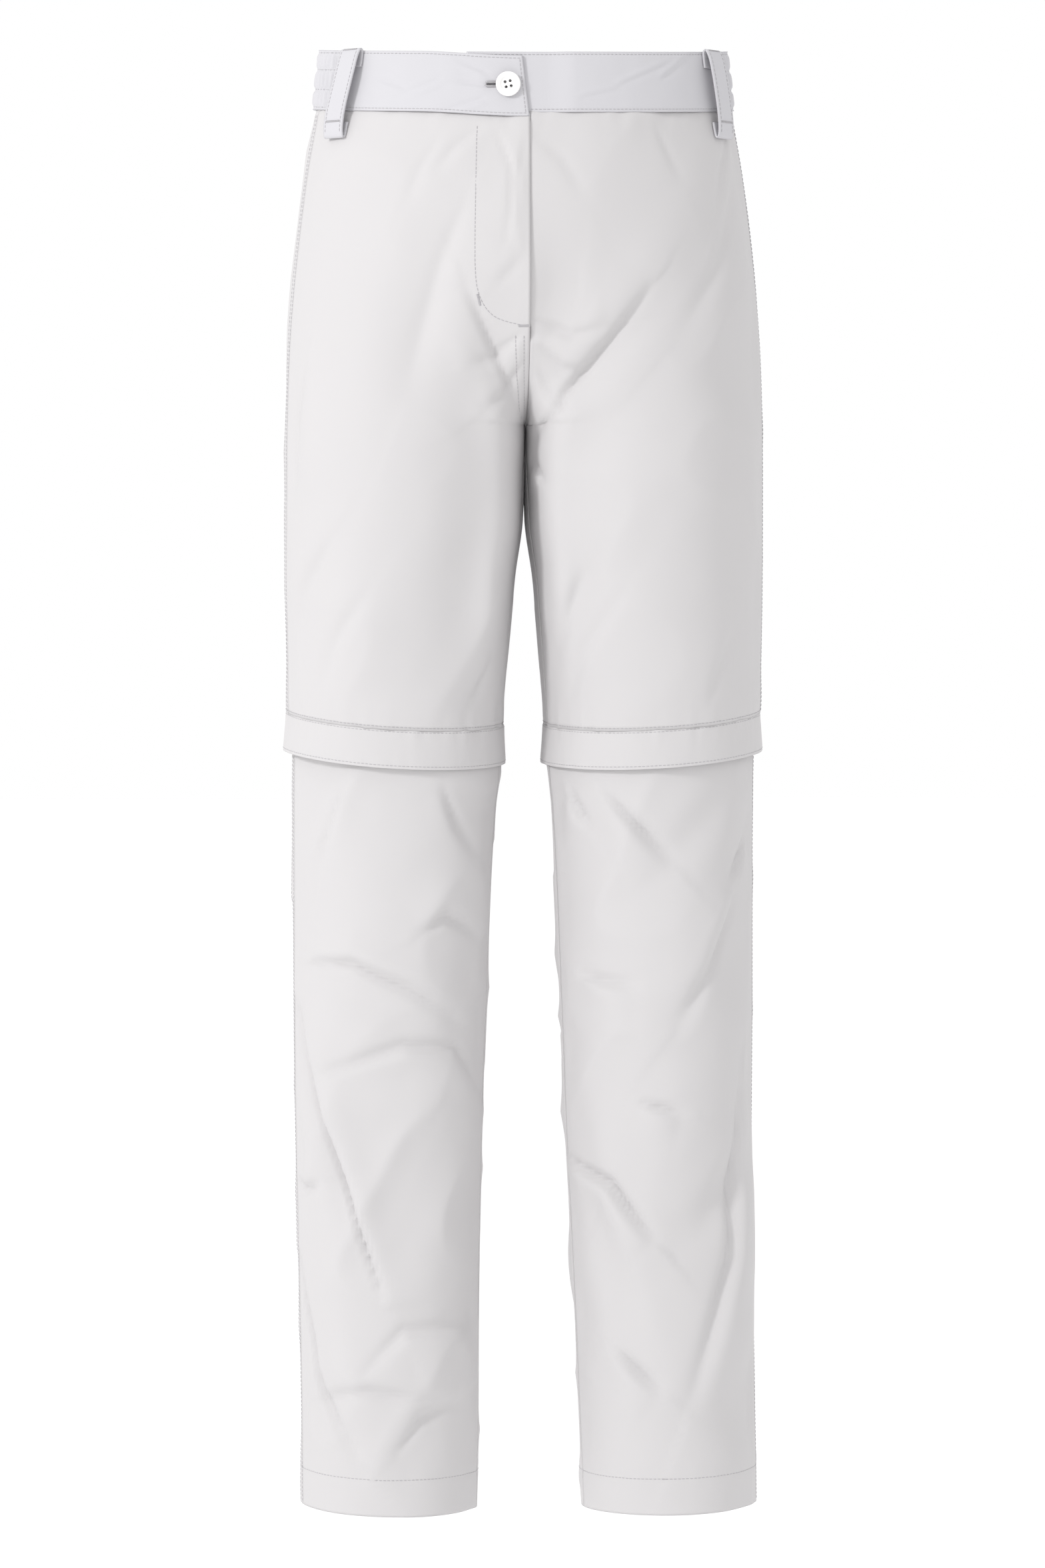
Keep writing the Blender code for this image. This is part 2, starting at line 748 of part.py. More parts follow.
def front_point(x, z, depth):
    """A point behind the fly at a distance x from the centre line."""
    half = along(BODY, z)[0]
    c = min(1.0, abs(x) / half) ** (ROUNDNESS / 2.0)
    angle = math.degrees(math.acos(c))
    run = (angle - SIDE_SEAM) / (90.0 - SIDE_SEAM)
    p = shorts_point(-1, False, min(1.0, run), z)
    dz = waist_shift(90.0) * smooth(-170.0, -45.0, z / MM)
    return Vector((x, p.y + depth, z + dz))


def make_fly_zip():
    """The fly's zip behind the overlap: tape, and its chain raised off the centre line."""
    columns = (-20.0, -14.0, -11.4, -10.8, -7.2, -6.6, -3.0, 1.0, 5.0)
    top = -BAND_HEIGHT - 5.5 * MM
    heights = [top + (FLY_END_Z + 6.0 * MM - top) * i / 9 for i in range(10)]
    outer, inner = [], []
    for z in heights:
        row_out, row_in = [], []
        for x in columns:
            raised = CHAIN_HEIGHT if -11.0 < x < -7.0 else 0.0
            row_out.append(front_point(x * MM, z, FLY_ZIP_DEPTH - raised))
            row_in.append(front_point(x * MM, z, FLY_ZIP_DEPTH + TAPE_WALL))
        outer.append(row_out)
        inner.append(row_in)
    return wall_between("fly_zip", outer, inner, TAPE)


def make_fly_slider():
    z = -BAND_HEIGHT - 14.0 * MM
    thick = 2.2 * MM
    depth = FLY_ZIP_DEPTH + TAPE_WALL + 0.4 * MM + 0.5 * thick
    centre = front_point(FLY_ZIP_X, z, depth)
    above = front_point(FLY_ZIP_X, z + 4.0 * MM, depth)
    below = front_point(FLY_ZIP_X, z - 4.0 * MM, depth)
    up = (above - below).normalized()
    out = Vector((0.0, 1.0, 0.0))
    out = (out - up * out.dot(up)).normalized()
    return make_slider("fly_slider", centre, out, up, (9.0 * MM, 7.0 * MM, thick))


def band_face_at(x):
    """The height of the right front band's outer face in front of a distance x."""
    angle = band_angle(x, 20.0 * MM)
    return band_point(-1, angle, -BUTTON_Z - FRONT_DIP - 2.0 * MM, right_front=True).y


def tilted(x):
    """The way the band faces at a distance x, level."""
    e = 3.0 * MM
    slope = (band_face_at(x + e) - band_face_at(x - e)) / (2.0 * e)
    return Vector((slope, -1.0, 0.0)).normalized()


def lathe(name, profile, steps, colour, roughness):
    """A turned body from a profile of radius and height, closed on its axis by Screw."""
    bm = bmesh.new()
    verts = [bm.verts.new((r, 0.0, h)) for r, h in profile]
    for a, b in zip(verts, verts[1:]):
        bm.edges.new((a, b))
    mesh = bpy.data.meshes.new(name)
    bm.to_mesh(mesh)
    bm.free()
    obj = add_object(name, mesh, colour, roughness)
    screw = obj.modifiers.new("turned", "SCREW")
    screw.steps = steps
    screw.render_steps = steps
    screw.use_merge_vertices = True
    screw.merge_threshold = 0.00005
    screw.use_normal_calculate = True
    screw.use_smooth_shade = True
    return obj


def cutter(name, mesh):
    obj = bpy.data.objects.new(name, mesh)
    CUTTERS.objects.link(obj)
    obj.hide_render = True
    obj.display_type = "WIRE"
    return obj


def cylinder_mesh(name, radius, length, places, segments=14):
    """Upright cylinders at the given places, as one mesh."""
    bm = bmesh.new()
    for x, y in places:
        made = bmesh.ops.create_cone(
            bm, cap_ends=True, segments=segments, radius1=radius, radius2=radius, depth=length)
        bmesh.ops.translate(bm, verts=made["verts"], vec=(x, y, 0.0))
    mesh = bpy.data.meshes.new(name)
    bm.to_mesh(mesh)
    bm.free()
    return mesh


def cut(obj, tool):
    boolean = obj.modifiers.new("cut " + tool.name, "BOOLEAN")
    boolean.operation = "DIFFERENCE"
    boolean.solver = "EXACT"
    boolean.object = tool


def make_button():
    """Button, its thread and the buttonhole that the thread goes through."""
    r = 0.5 * BUTTON_D
    t = BUTTON_T
    profile = (
        (0.0, 0.0),
        (r * 0.62, 0.0),
        (r * 0.90, 0.30 * t),
        (r * 1.00, 0.58 * t),
        (r * 0.985, 0.82 * t),
        (r * 0.90, 0.98 * t),
        (r * 0.76, 1.00 * t),
        (r * 0.62, 0.90 * t),
        (r * 0.55, 0.70 * t),
        (0.0, 0.64 * t),
    )
    button = lathe("button", profile, 28, PLASTIC, 0.22)
    normal = tilted(BUTTON_X)
    turn = normal.to_track_quat("Z", "Y").to_euler()
    face = Vector((BUTTON_X, band_face_at(BUTTON_X), BUTTON_Z))
    seat = face + normal * BUTTON_OFF
    button.location = seat
    button.rotation_euler = turn
    h = 0.5 * BUTTON_HOLE_PITCH
    w = math.radians(BUTTON_TURN)
    places = []
    for sx, sy in ((-1, -1), (1, -1), (1, 1), (-1, 1)):
        x, y = sx * h, sy * h
        places.append((x * math.cos(w) - y * math.sin(w), x * math.sin(w) + y * math.cos(w)))
    drill = cylinder_mesh("button_holes", 0.5 * BUTTON_HOLE_D, 20.0 * MM, places)
    holes = cutter("button_holes", drill)
    holes.location = seat
    holes.rotation_euler = turn
    cut(button, holes)

    length = BUTTON_OFF + UNDERLAP_TUCK - 0.35 * MM
    middle = face + normal * (BUTTON_OFF - 0.15 * MM - 0.5 * length)
    thread_mesh = cylinder_mesh("button_thread", 0.5 * THREAD_D, length, ((0.0, 0.0),), 16)
    thread = add_object("button_thread", thread_mesh, BAND, 0.9)
    thread.location = middle
    thread.rotation_euler = turn

    bm = bmesh.new()
    made = bmesh.ops.create_cube(bm, size=1.0)
    bmesh.ops.scale(bm, verts=made["verts"], vec=(16.0 * MM, 1.6 * MM, 20.0 * MM))
    bmesh.ops.translate(bm, verts=made["verts"], vec=(-7.5 * MM, 0.0, 0.0))
    mesh = bpy.data.meshes.new("buttonhole_slot")
    bm.to_mesh(mesh)
    bm.free()
    slot = cutter("buttonhole_slot", mesh)
    round_end = cylinder_mesh("buttonhole_eye", 2.1 * MM, 20.0 * MM, ((0.0, 0.0),), 20)
    eye = cutter("buttonhole_eye", round_end)
    for tool in (slot, eye):
        tool.location = face
        tool.rotation_euler = turn
    return slot, eye


wipe()
TROUSERS = collection("zip_off_trousers")
CUTTERS = collection("cutters")

for word, side in (("right", -1), ("left", 1)):
    make_shorts("shorts_front_" + word, side, 0)
    make_shorts("shorts_back_" + word, side, 1)
    make_lower("leg_front_" + word, side, 0)
    make_lower("leg_back_" + word, side, 1)
    make_side_band("band_side_" + word, side)
    make_flap("knee_flap_" + word, side)
    make_knee_zip("knee_zip_" + word, side)
    make_knee_slider("knee_slider_" + word, side)

right_band = make_front_band_right()
make_front_band_left()
make_back_band()
for loop_name, loop_side, loop_angle, loop_lean in LOOPS:
    make_loop(loop_name, loop_side, loop_angle, loop_lean)
make_fly_zip()
make_fly_slider()
for tool in make_button():
    cut(right_band, tool)
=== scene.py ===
"""Convertible zip-off trousers: the cloth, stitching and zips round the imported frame."""

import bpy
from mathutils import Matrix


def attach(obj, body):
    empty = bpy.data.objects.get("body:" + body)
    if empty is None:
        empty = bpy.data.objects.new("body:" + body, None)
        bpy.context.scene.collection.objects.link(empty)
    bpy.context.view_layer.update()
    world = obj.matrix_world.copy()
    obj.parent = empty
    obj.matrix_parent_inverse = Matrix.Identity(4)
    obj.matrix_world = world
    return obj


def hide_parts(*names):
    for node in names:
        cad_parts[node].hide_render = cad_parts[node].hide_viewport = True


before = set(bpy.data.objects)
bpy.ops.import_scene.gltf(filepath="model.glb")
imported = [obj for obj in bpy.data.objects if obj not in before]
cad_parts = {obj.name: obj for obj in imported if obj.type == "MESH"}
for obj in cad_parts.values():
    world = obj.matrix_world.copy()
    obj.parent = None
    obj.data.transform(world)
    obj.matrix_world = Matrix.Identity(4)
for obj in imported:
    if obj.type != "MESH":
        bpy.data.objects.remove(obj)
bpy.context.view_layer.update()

import math

import bpy
import numpy as np
from mathutils import Vector

MM = 0.001

# Cloth walls and heights down the garment; the waist's top edge is near height 0
WALL = 1.1 * MM
BAND_WALL = 2.4 * MM
SEAM_GAP = 0.3 * MM
BAND_HEIGHT = 42.0 * MM
FORK_Z = -266.0 * MM
KNEE_Z = -474.0 * MM
HEM_Z = -1031.0 * MM
HEM_TURN_UP = 26.0 * MM
FRONT_DIP = 9.3 * MM
BACK_RISE = 2.0 * MM
OVERLAP_DROOP = 2.8 * MM

# Round the body: angles in degrees (0 at the side, 90 at the front centre, -90 at the back), the
# power that makes its ring squarish, and the gathers over each elastic
SIDE_SEAM = 12.0
INSEAM = 14.0
ROUNDNESS = 2.1
ELASTIC_FRONT = 24.0
ELASTIC_BACK = -27.0
SEAM_ANGLE = 0.13
GATHERS = 13

# The waistband's overlap and the fly
UNDERLAP_TUCK = 2.9 * MM
UNDERLAP = 38.0 * MM
BAND_END_TOP = -5.2 * MM
BAND_END_FOOT = -0.4 * MM
FRONT_TUCK = 1.8 * MM
FRONT_UNDER = 4.0 * MM

# Knee flap and zip, button and belt loops
FLAP_HEIGHT = 27.0 * MM
LEG_TOP_BELOW = 18.0 * MM
ZIP_ABOVE = 8.0 * MM
ZIP_BELOW = 26.0 * MM
CHAIN_BELOW = 11.5 * MM
ZIP_INSET = 1.6 * MM
ZIP_SAG = 1.5 * MM
BUTTON_D = 17.3 * MM
BUTTON_T = 3.2 * MM
BUTTON_X = -15.1 * MM
BUTTON_Z = -32.6 * MM
BUTTON_OFF = 0.7 * MM
LOOP_WIDTH = 18.5 * MM

# The body: height, half width, depth in front, depth behind, in millimetres
BODY = np.array((
    (20, 142.5, 98, 101),
    (0, 144.0, 100, 102),
    (-43, 148.3, 104, 107),
    (-84, 155.5, 109, 117),
    (-129, 161.4, 113, 127),
    (-176, 166.2, 115, 132),
    (-228, 169.2, 114, 129),
    (-280, 169.7, 109, 120),
    (-331, 169.7, 102, 106),
    (-380, 169.5, 94, 94),
    (-474, 168.0, 80, 77),
), float)

# A leg: height, outer side, inner side, depth in front, depth behind, sway, in millimetres
LEG = np.array((
    (-140, 163.0, 0.0, 114, 126, 0.0),
    (-200, 168.0, 0.0, 113, 122, 0.0),
    (-266, 169.7, 0.0, 109, 114, 0.0),
    (-331, 169.7, 0.4, 102, 103, 0.0),
    (-367, 169.6, 5.4, 96, 96, 0.2),
    (-389, 169.5, 7.6, 92, 91, 0.4),
    (-436, 168.8, 11.4, 84, 82, 0.2),
    (-474, 168.2, 14.0, 78, 75, 0.0),
    (-492, 164.6, 15.0, 74, 71.5, -0.3),
    (-510, 164.0, 15.8, 73, 71, -0.4),
    (-531, 163.9, 18.0, 72.5, 70.5, -0.6),
    (-578, 163.7, 21.0, 72, 70, -0.7),
    (-673, 163.6, 24.9, 70.5, 70, -0.6),
    (-768, 162.9, 28.4, 68.5, 69, -0.3),
    (-863, 162.1, 31.7, 66.5, 67.5, 1.2),
    (-957, 162.2, 34.1, 64.5, 66, 3.0),
    (-1040, 162.4, 36.6, 63, 64.5, 4.1),
), float)

# Large folds: side, back, run and height at each end, half width, depth; run is 0 at the
# side seam and 1 at the centre or the inseam, the rest in millimetres
SHORTS_FOLDS = (
    (1, 0, 0.58, -178, 0.88, -256, 15, 2.6),
    (1, 0, 0.20, -88, 0.62, -216, 22, 2.0),
    (1, 0, 0.70, -365, 0.88, -420, 14, 1.6),
    (-1, 0, 0.80, -112, 0.52, -252, 22, 2.2),
    (-1, 0, 0.80, -178, 0.92, -252, 14, 2.0),
    (-1, 0, 0.10, -230, 0.04, -330, 18, 2.2),
    (-1, 0, 0.28, -350, 0.12, -420, 16, 1.6),
    (1, 1, 0.50, -150, 0.88, -250, 18, 2.4),
    (-1, 1, 0.45, -160, 0.86, -246, 18, 2.4),
    (1, 1, 0.86, -270, 0.45, -300, 15, 2.2),
    (-1, 1, 0.84, -274, 0.50, -310, 15, 2.2),
)
LEG_FOLDS = (
    (-1, 0, 0.06, -685, 0.42, -870, 13, 2.6),
    (-1, 0, 0.10, -645, 0.75, -690, 14, 2.0),
    (-1, 0, 0.12, -730, 0.85, -705, 14, 1.8),
    (-1, 0, 0.10, -860, 0.38, -985, 13, 2.2),
    (1, 0, 0.06, -780, 0.42, -835, 13, 2.2),
    (1, 0, 0.90, -740, 0.62, -930, 14, 2.2),
    (1, 0, 0.20, -520, 0.50, -570, 13, 1.8),
    (-1, 1, 0.15, -620, 0.70, -680, 15, 2.2),
    (-1, 1, 0.20, -830, 0.65, -760, 15, 2.2),
    (1, 1, 0.20, -640, 0.70, -600, 15, 2.2),
    (1, 1, 0.15, -760, 0.60, -850, 15, 2.2),
)

# Belt loops: name, side, angle round the waist, lean of the foot in millimetres
LOOPS = (
    ("loop_front_right", -1, 34.0, 9.0),
    ("loop_front_left", 1, 28.0, 4.0),
    ("loop_back_right", -1, -38.0, 0.0),
    ("loop_back_left", 1, -38.0, 0.0),
    ("loop_back_centre", 1, -90.0, 0.0),
)
# A loop's strip from its upper end to its lower one: distance off the band, height, in millimetres
LOOP_LINE = np.array((
    (1.05, -12.0), (1.05, -3.0), (1.7, -0.4), (3.1, 0.5), (4.7, -1.2), (6.4, -7.0),
    (7.4, -18.0), (7.6, -30.0), (7.2, -42.0), (6.0, -52.0), (4.4, -58.5), (2.8, -60.5),
    (1.7, -59.5), (1.35, -56.5), (1.35, -50.0),
), float)


def smooth(a, b, value):
    t = np.clip((np.asarray(value, float) - a) / (b - a), 0.0, 1.0)
    return t * t * (3.0 - 2.0 * t)


def along(table, z):
    """The columns of a table at heights z, by a cubic through its rows."""
    z = np.asarray(z, float) / MM
    zs = -table[:, 0]
    q = np.clip(-z, zs[0], zs[-1])
    i = np.clip(np.searchsorted(zs, q, side="right") - 1, 0, len(zs) - 2)
    before = np.maximum(i - 1, 0)
    after = np.minimum(i + 2, len(zs) - 1)
    h = zs[i + 1] - zs[i]
    t = ((q - zs[i]) / h)[..., None]
    a, b = table[i, 1:], table[i + 1, 1:]
    slope = (b - a) / h[..., None]
    m0 = np.where((before == i)[..., None], slope,
                  (b - table[before, 1:]) / np.maximum(zs[i + 1] - zs[before], 1e-9)[..., None])
    m1 = np.where((after == i + 1)[..., None], slope,
                  (table[after, 1:] - a) / np.maximum(zs[after] - zs[i], 1e-9)[..., None])
    out = ((2 * t**3 - 3 * t**2 + 1) * a + (t**3 - 2 * t**2 + t) * h[..., None] * m0
           + (-2 * t**3 + 3 * t**2) * b + (t**3 - t**2) * h[..., None] * m1)
    return np.moveaxis(out, -1, 0) * MM


def rounded(angle):
    """Cosine and sine of the squarish ring that the body and the legs have in section."""
    c, s = np.cos(np.radians(angle)), np.sin(np.radians(angle))
    p = 2.0 / ROUNDNESS
    return np.sign(c) * np.abs(c) ** p, np.sign(s) * np.abs(s) ** p


def body_point(angle, z):
    """A place on the body's ring, on the side where x is positive."""
    wide, front, back = along(BODY, z)
    c, s = rounded(angle)
    return np.stack([wide * c, np.where(s > 0, -front * s, -back * s), z + 0.0 * c], -1)


def leg_point(angle, z):
    """A place on the ring of the leg where x is positive, before its sway."""
    outer, inner, front, back, _ = along(LEG, z)
    c, s = rounded(angle)
    x = 0.5 * (outer + inner) + 0.5 * (outer - inner) * c
    return np.stack([x, np.where(s > 0, -front * s, -back * s), z + 0.0 * c], -1)


def run_angles(run, back):
    """The angle round the body and round the leg at a run from the side seam to the centre."""
    if back:
        return SIDE_SEAM - run * (SIDE_SEAM + 90.0), SIDE_SEAM - run * (SIDE_SEAM + 180.0 + INSEAM)
    return SIDE_SEAM + run * (90.0 - SIDE_SEAM), SIDE_SEAM + run * (180.0 - INSEAM - SIDE_SEAM)


def forking(run, back, z):
    """How far the body's ring has given way to the leg's: 0 at the waist, 1 below the fork."""
    top = -170.0 * MM if back else -150.0 * MM
    k = np.clip((top - z) / (top - FORK_Z), 0.0, 1.0)
    edge = np.where(z <= FORK_Z, 1.0, 1.0 - np.sqrt(1.0 - k * k))
    middle = smooth(-150.0 if back else -110.0, -340.0, z / MM)
    return middle + (edge - middle) * run**4


def waist_shift(angle, right_front=False):
    """How far the waist's edge dips in front, droops at the overlap and rises behind."""
    s = rounded(angle)[1]
    drop = FRONT_DIP * s
    if right_front:
        drop = drop + OVERLAP_DROOP * smooth(60.0, 88.0, angle)
    return np.where(s > 0, -drop, -BACK_RISE * s)


def knee_shift(angle):
    """How far the knee's seam slants round the leg."""
    a = np.radians(angle)
    return (4.5 * np.cos(a) - 5.0 * np.sin(a) + 1.25 * np.cos(2.0 * a)) * MM


def fold_depth(table, side, back, run, z, scale):
    """Depth of the large folds at a run and height, for a panel scale millimetres wide."""
    depth = np.zeros(np.broadcast(run, z).shape)
    for f_side, f_back, r0, z0, r1, z1, half, deep in table:
        if f_side != side or f_back != back:
            continue
        x, y = run * scale, z / MM
        x0, y0, dx, dy = r0 * scale, z0, (r1 - r0) * scale, z1 - z0
        t = np.clip(((x - x0) * dx + (y - y0) * dy) / (dx * dx + dy * dy), 0.0, 1.0)
        away = np.hypot(x - x0 - t * dx, y - y0 - t * dy)
        ends = 0.25 + 0.75 * np.sin(np.pi * t)
        depth += deep * ends * (np.exp(-((away / half) ** 2))
                                - 0.45 * np.exp(-(((away - 1.7 * half) / half) ** 2)))
    return depth * MM


def shorts_point(side, back, run, z):
    """A place on a shorts panel, by its run from the side seam and its height before the shifts."""
    run, z = np.broadcast_arrays(np.asarray(run, float), np.asarray(z, float))
    body_a, leg_a = run_angles(run, back)
    t = forking(run, back, z)[..., None]
    p = body_point(body_a, z) * (1.0 - t) + leg_point(leg_a, z) * t
    inseam = leg_point(run_angles(1.0, back)[1], z)[..., 0] * forking(1.0, back, z)
    meeting = run**8 * smooth(FORK_Z - 62.0 * MM, FORK_Z - 8.0 * MM, z)
    x = np.maximum(p[..., 0] - inseam * meeting, 0.0) * side
    y = p[..., 1]
    if not back:
        inner_thigh = np.exp(-(((run - 0.87) / 0.11) ** 2)) * smooth(1.0, 0.97, run)
        y = y - 15.0 * MM * inner_thigh * smooth(-232, -270, z / MM) * smooth(-468, -380, z / MM)
    if not back and side > 0:
        high = z > -215.0 * MM
        open_part = smooth(-212.0 * MM, -204.0 * MM, z)
        under = smooth(-202.0 * MM, -192.0 * MM, z) * smooth(-46.0 * MM, -56.0 * MM, z)
        y = y + np.where(high, FRONT_TUCK * smooth(0.78, 0.95, run) * open_part, 0.0)
        x = x - np.where(high, FRONT_UNDER * smooth(0.86, 1.0, run) * under, 0.0)
    fade_waist = smooth(-170.0, -45.0, z / MM)
    fade_knee = smooth(-280.0, -474.0, z / MM)
    dz = waist_shift(body_a, side < 0 and not back) * fade_waist + knee_shift(leg_a) * fade_knee
    return np.stack([x + 0.5 * SEAM_GAP * side, y + 0.5 * SEAM_GAP * (1 if back else -1), z + dz], -1)


def way_out(ring, angle, z, away):
    """The level way out of a ring's face, on the side that away points to."""
    along_ring = ring(angle + 1.0, z) - ring(angle - 1.0, z)
    out = np.stack([-along_ring[..., 1], along_ring[..., 0]], -1)
    out /= np.linalg.norm(out, axis=-1, keepdims=True)
    return out * np.where((out * away).sum(-1) < 0, -1.0, 1.0)[..., None]


def lower_point(side, angle, z, grow=0.0):
    """A place on a lower leg, moved out by grow."""
    angle, z = np.broadcast_arrays(np.asarray(angle, float), np.asarray(z, float))
    p = leg_point(angle, z)
    away = np.stack([np.cos(np.radians(angle)), -np.sin(np.radians(angle))], -1)
    out = way_out(leg_point, angle, z, away)
    sway = along(LEG, z)[4]
    share = 1.0 - 0.7 * smooth(-560.0, -1000.0, z / MM)
    return np.stack([(p[..., 0] + out[..., 0] * grow) * side + sway, p[..., 1] + out[..., 1] * grow,
                     z + knee_shift(angle) * share], -1)


def lower_panel(side, back, run, z):
    p = lower_point(side, run_angles(run, back)[1], z)
    p[..., 1] += 0.5 * SEAM_GAP * (1 if back else -1)
    return p


def band_point(side, angle, down, grow=0.0, right_front=False):
    """A place on the waistband, by the depth down it, moved out by grow."""
    angle, down = np.broadcast_arrays(np.asarray(angle, float), np.asarray(down, float))
    z = -0.5 * MM - down
    p = body_point(angle, z)
    out = way_out(body_point, angle, z, p[..., :2])
    return np.stack([(p[..., 0] + out[..., 0] * grow) * side, p[..., 1] + out[..., 1] * grow,
                     p[..., 2] + waist_shift(angle, right_front)], -1)


def band_angle(x, down):
    """The angle round the waist at which the band's ring is x from the centre."""
    wide = along(BODY, -np.asarray(down, float))[0]
    c = np.minimum(1.0, np.abs(x) / wide) ** (ROUNDNESS / 2.0)
    return np.degrees(np.arccos(c))


def lattice(ix, iy, iz, seed):
    """A repeatable number from 0 to 1 for each whole-numbered place."""
    h = (ix * 374761393 + iy * 668265263 + iz * 1274126177 + seed * 974711).astype(np.int64)
    h = (h ^ (h >> 13)) * 1103515245 & 0x7FFFFFFF
    h = (h ^ (h >> 11)) * 12345679 & 0x7FFFFFFF
    return ((h ^ (h >> 15)) & 0xFFFF) / 65535.0


def noise(p, size, seed=0):
    """Smooth noise from -1 to 1 over points p, in lumps of about the given size in metres."""
    q = np.asarray(p, float) / size + 100.0
    i = np.floor(q).astype(np.int64)
    f = q - i
    f = f * f * f * (f * (f * 6 - 15) + 10)
    total = 0.0
    for dx in (0, 1):
        for dy in (0, 1):
            for dz in (0, 1):
                w = ((f[..., 0] if dx else 1 - f[..., 0]) * (f[..., 1] if dy else 1 - f[..., 1])
                     * (f[..., 2] if dz else 1 - f[..., 2]))
                total = total + w * lattice(i[..., 0] + dx, i[..., 1] + dy, i[..., 2] + dz, seed)
    return total * 2.0 - 1.0


def creases(table, side, back, run, z, scale):
    """Height of the small creases: a trough with a ridge on one side, tapering to its ends."""
    lift = np.zeros(np.broadcast(run, z).shape)
    x, y = run * scale, z / MM
    for f_side, f_back, points, wide0, wide1, deep, ridge in table:
        if f_side != side or f_back != back:
            continue
        best = np.full(lift.shape, 1e9)
        where = np.zeros(lift.shape)
        signed = np.zeros(lift.shape)
        lengths = [math.hypot((b[0] - a[0]) * scale, b[1] - a[1]) for a, b in zip(points, points[1:])]
        total, gone = sum(lengths), 0.0
        for (a, b), length in zip(zip(points, points[1:]), lengths):
            dx, dy = (b[0] - a[0]) * scale, b[1] - a[1]
            t = np.clip(((x - a[0] * scale) * dx + (y - a[1]) * dy) / (length * length), 0.0, 1.0)
            ex, ey = x - a[0] * scale - t * dx, y - a[1] - t * dy
            away = np.hypot(ex, ey)
            near = away < best
            best = np.where(near, away, best)
            where = np.where(near, (gone + t * length) / total, where)
            signed = np.where(near, np.sign(dx * ey - dy * ex) * away, signed)
            gone += length
        wide = 0.85 * (wide0 + (wide1 - wide0) * where)
        ends = np.sin(np.pi * np.clip(0.06 + 0.88 * where, 0, 1)) ** 0.8
        trough = np.exp(-((signed / wide) ** 2))
        far = np.maximum(signed * np.sign(ridge), 0.0) / (2.6 * wide)
        crest = far * np.exp(1.0 - far)
        lift += 2.5 * deep * ends * (1.5 * abs(ridge) * crest - trough)
    return lift * MM


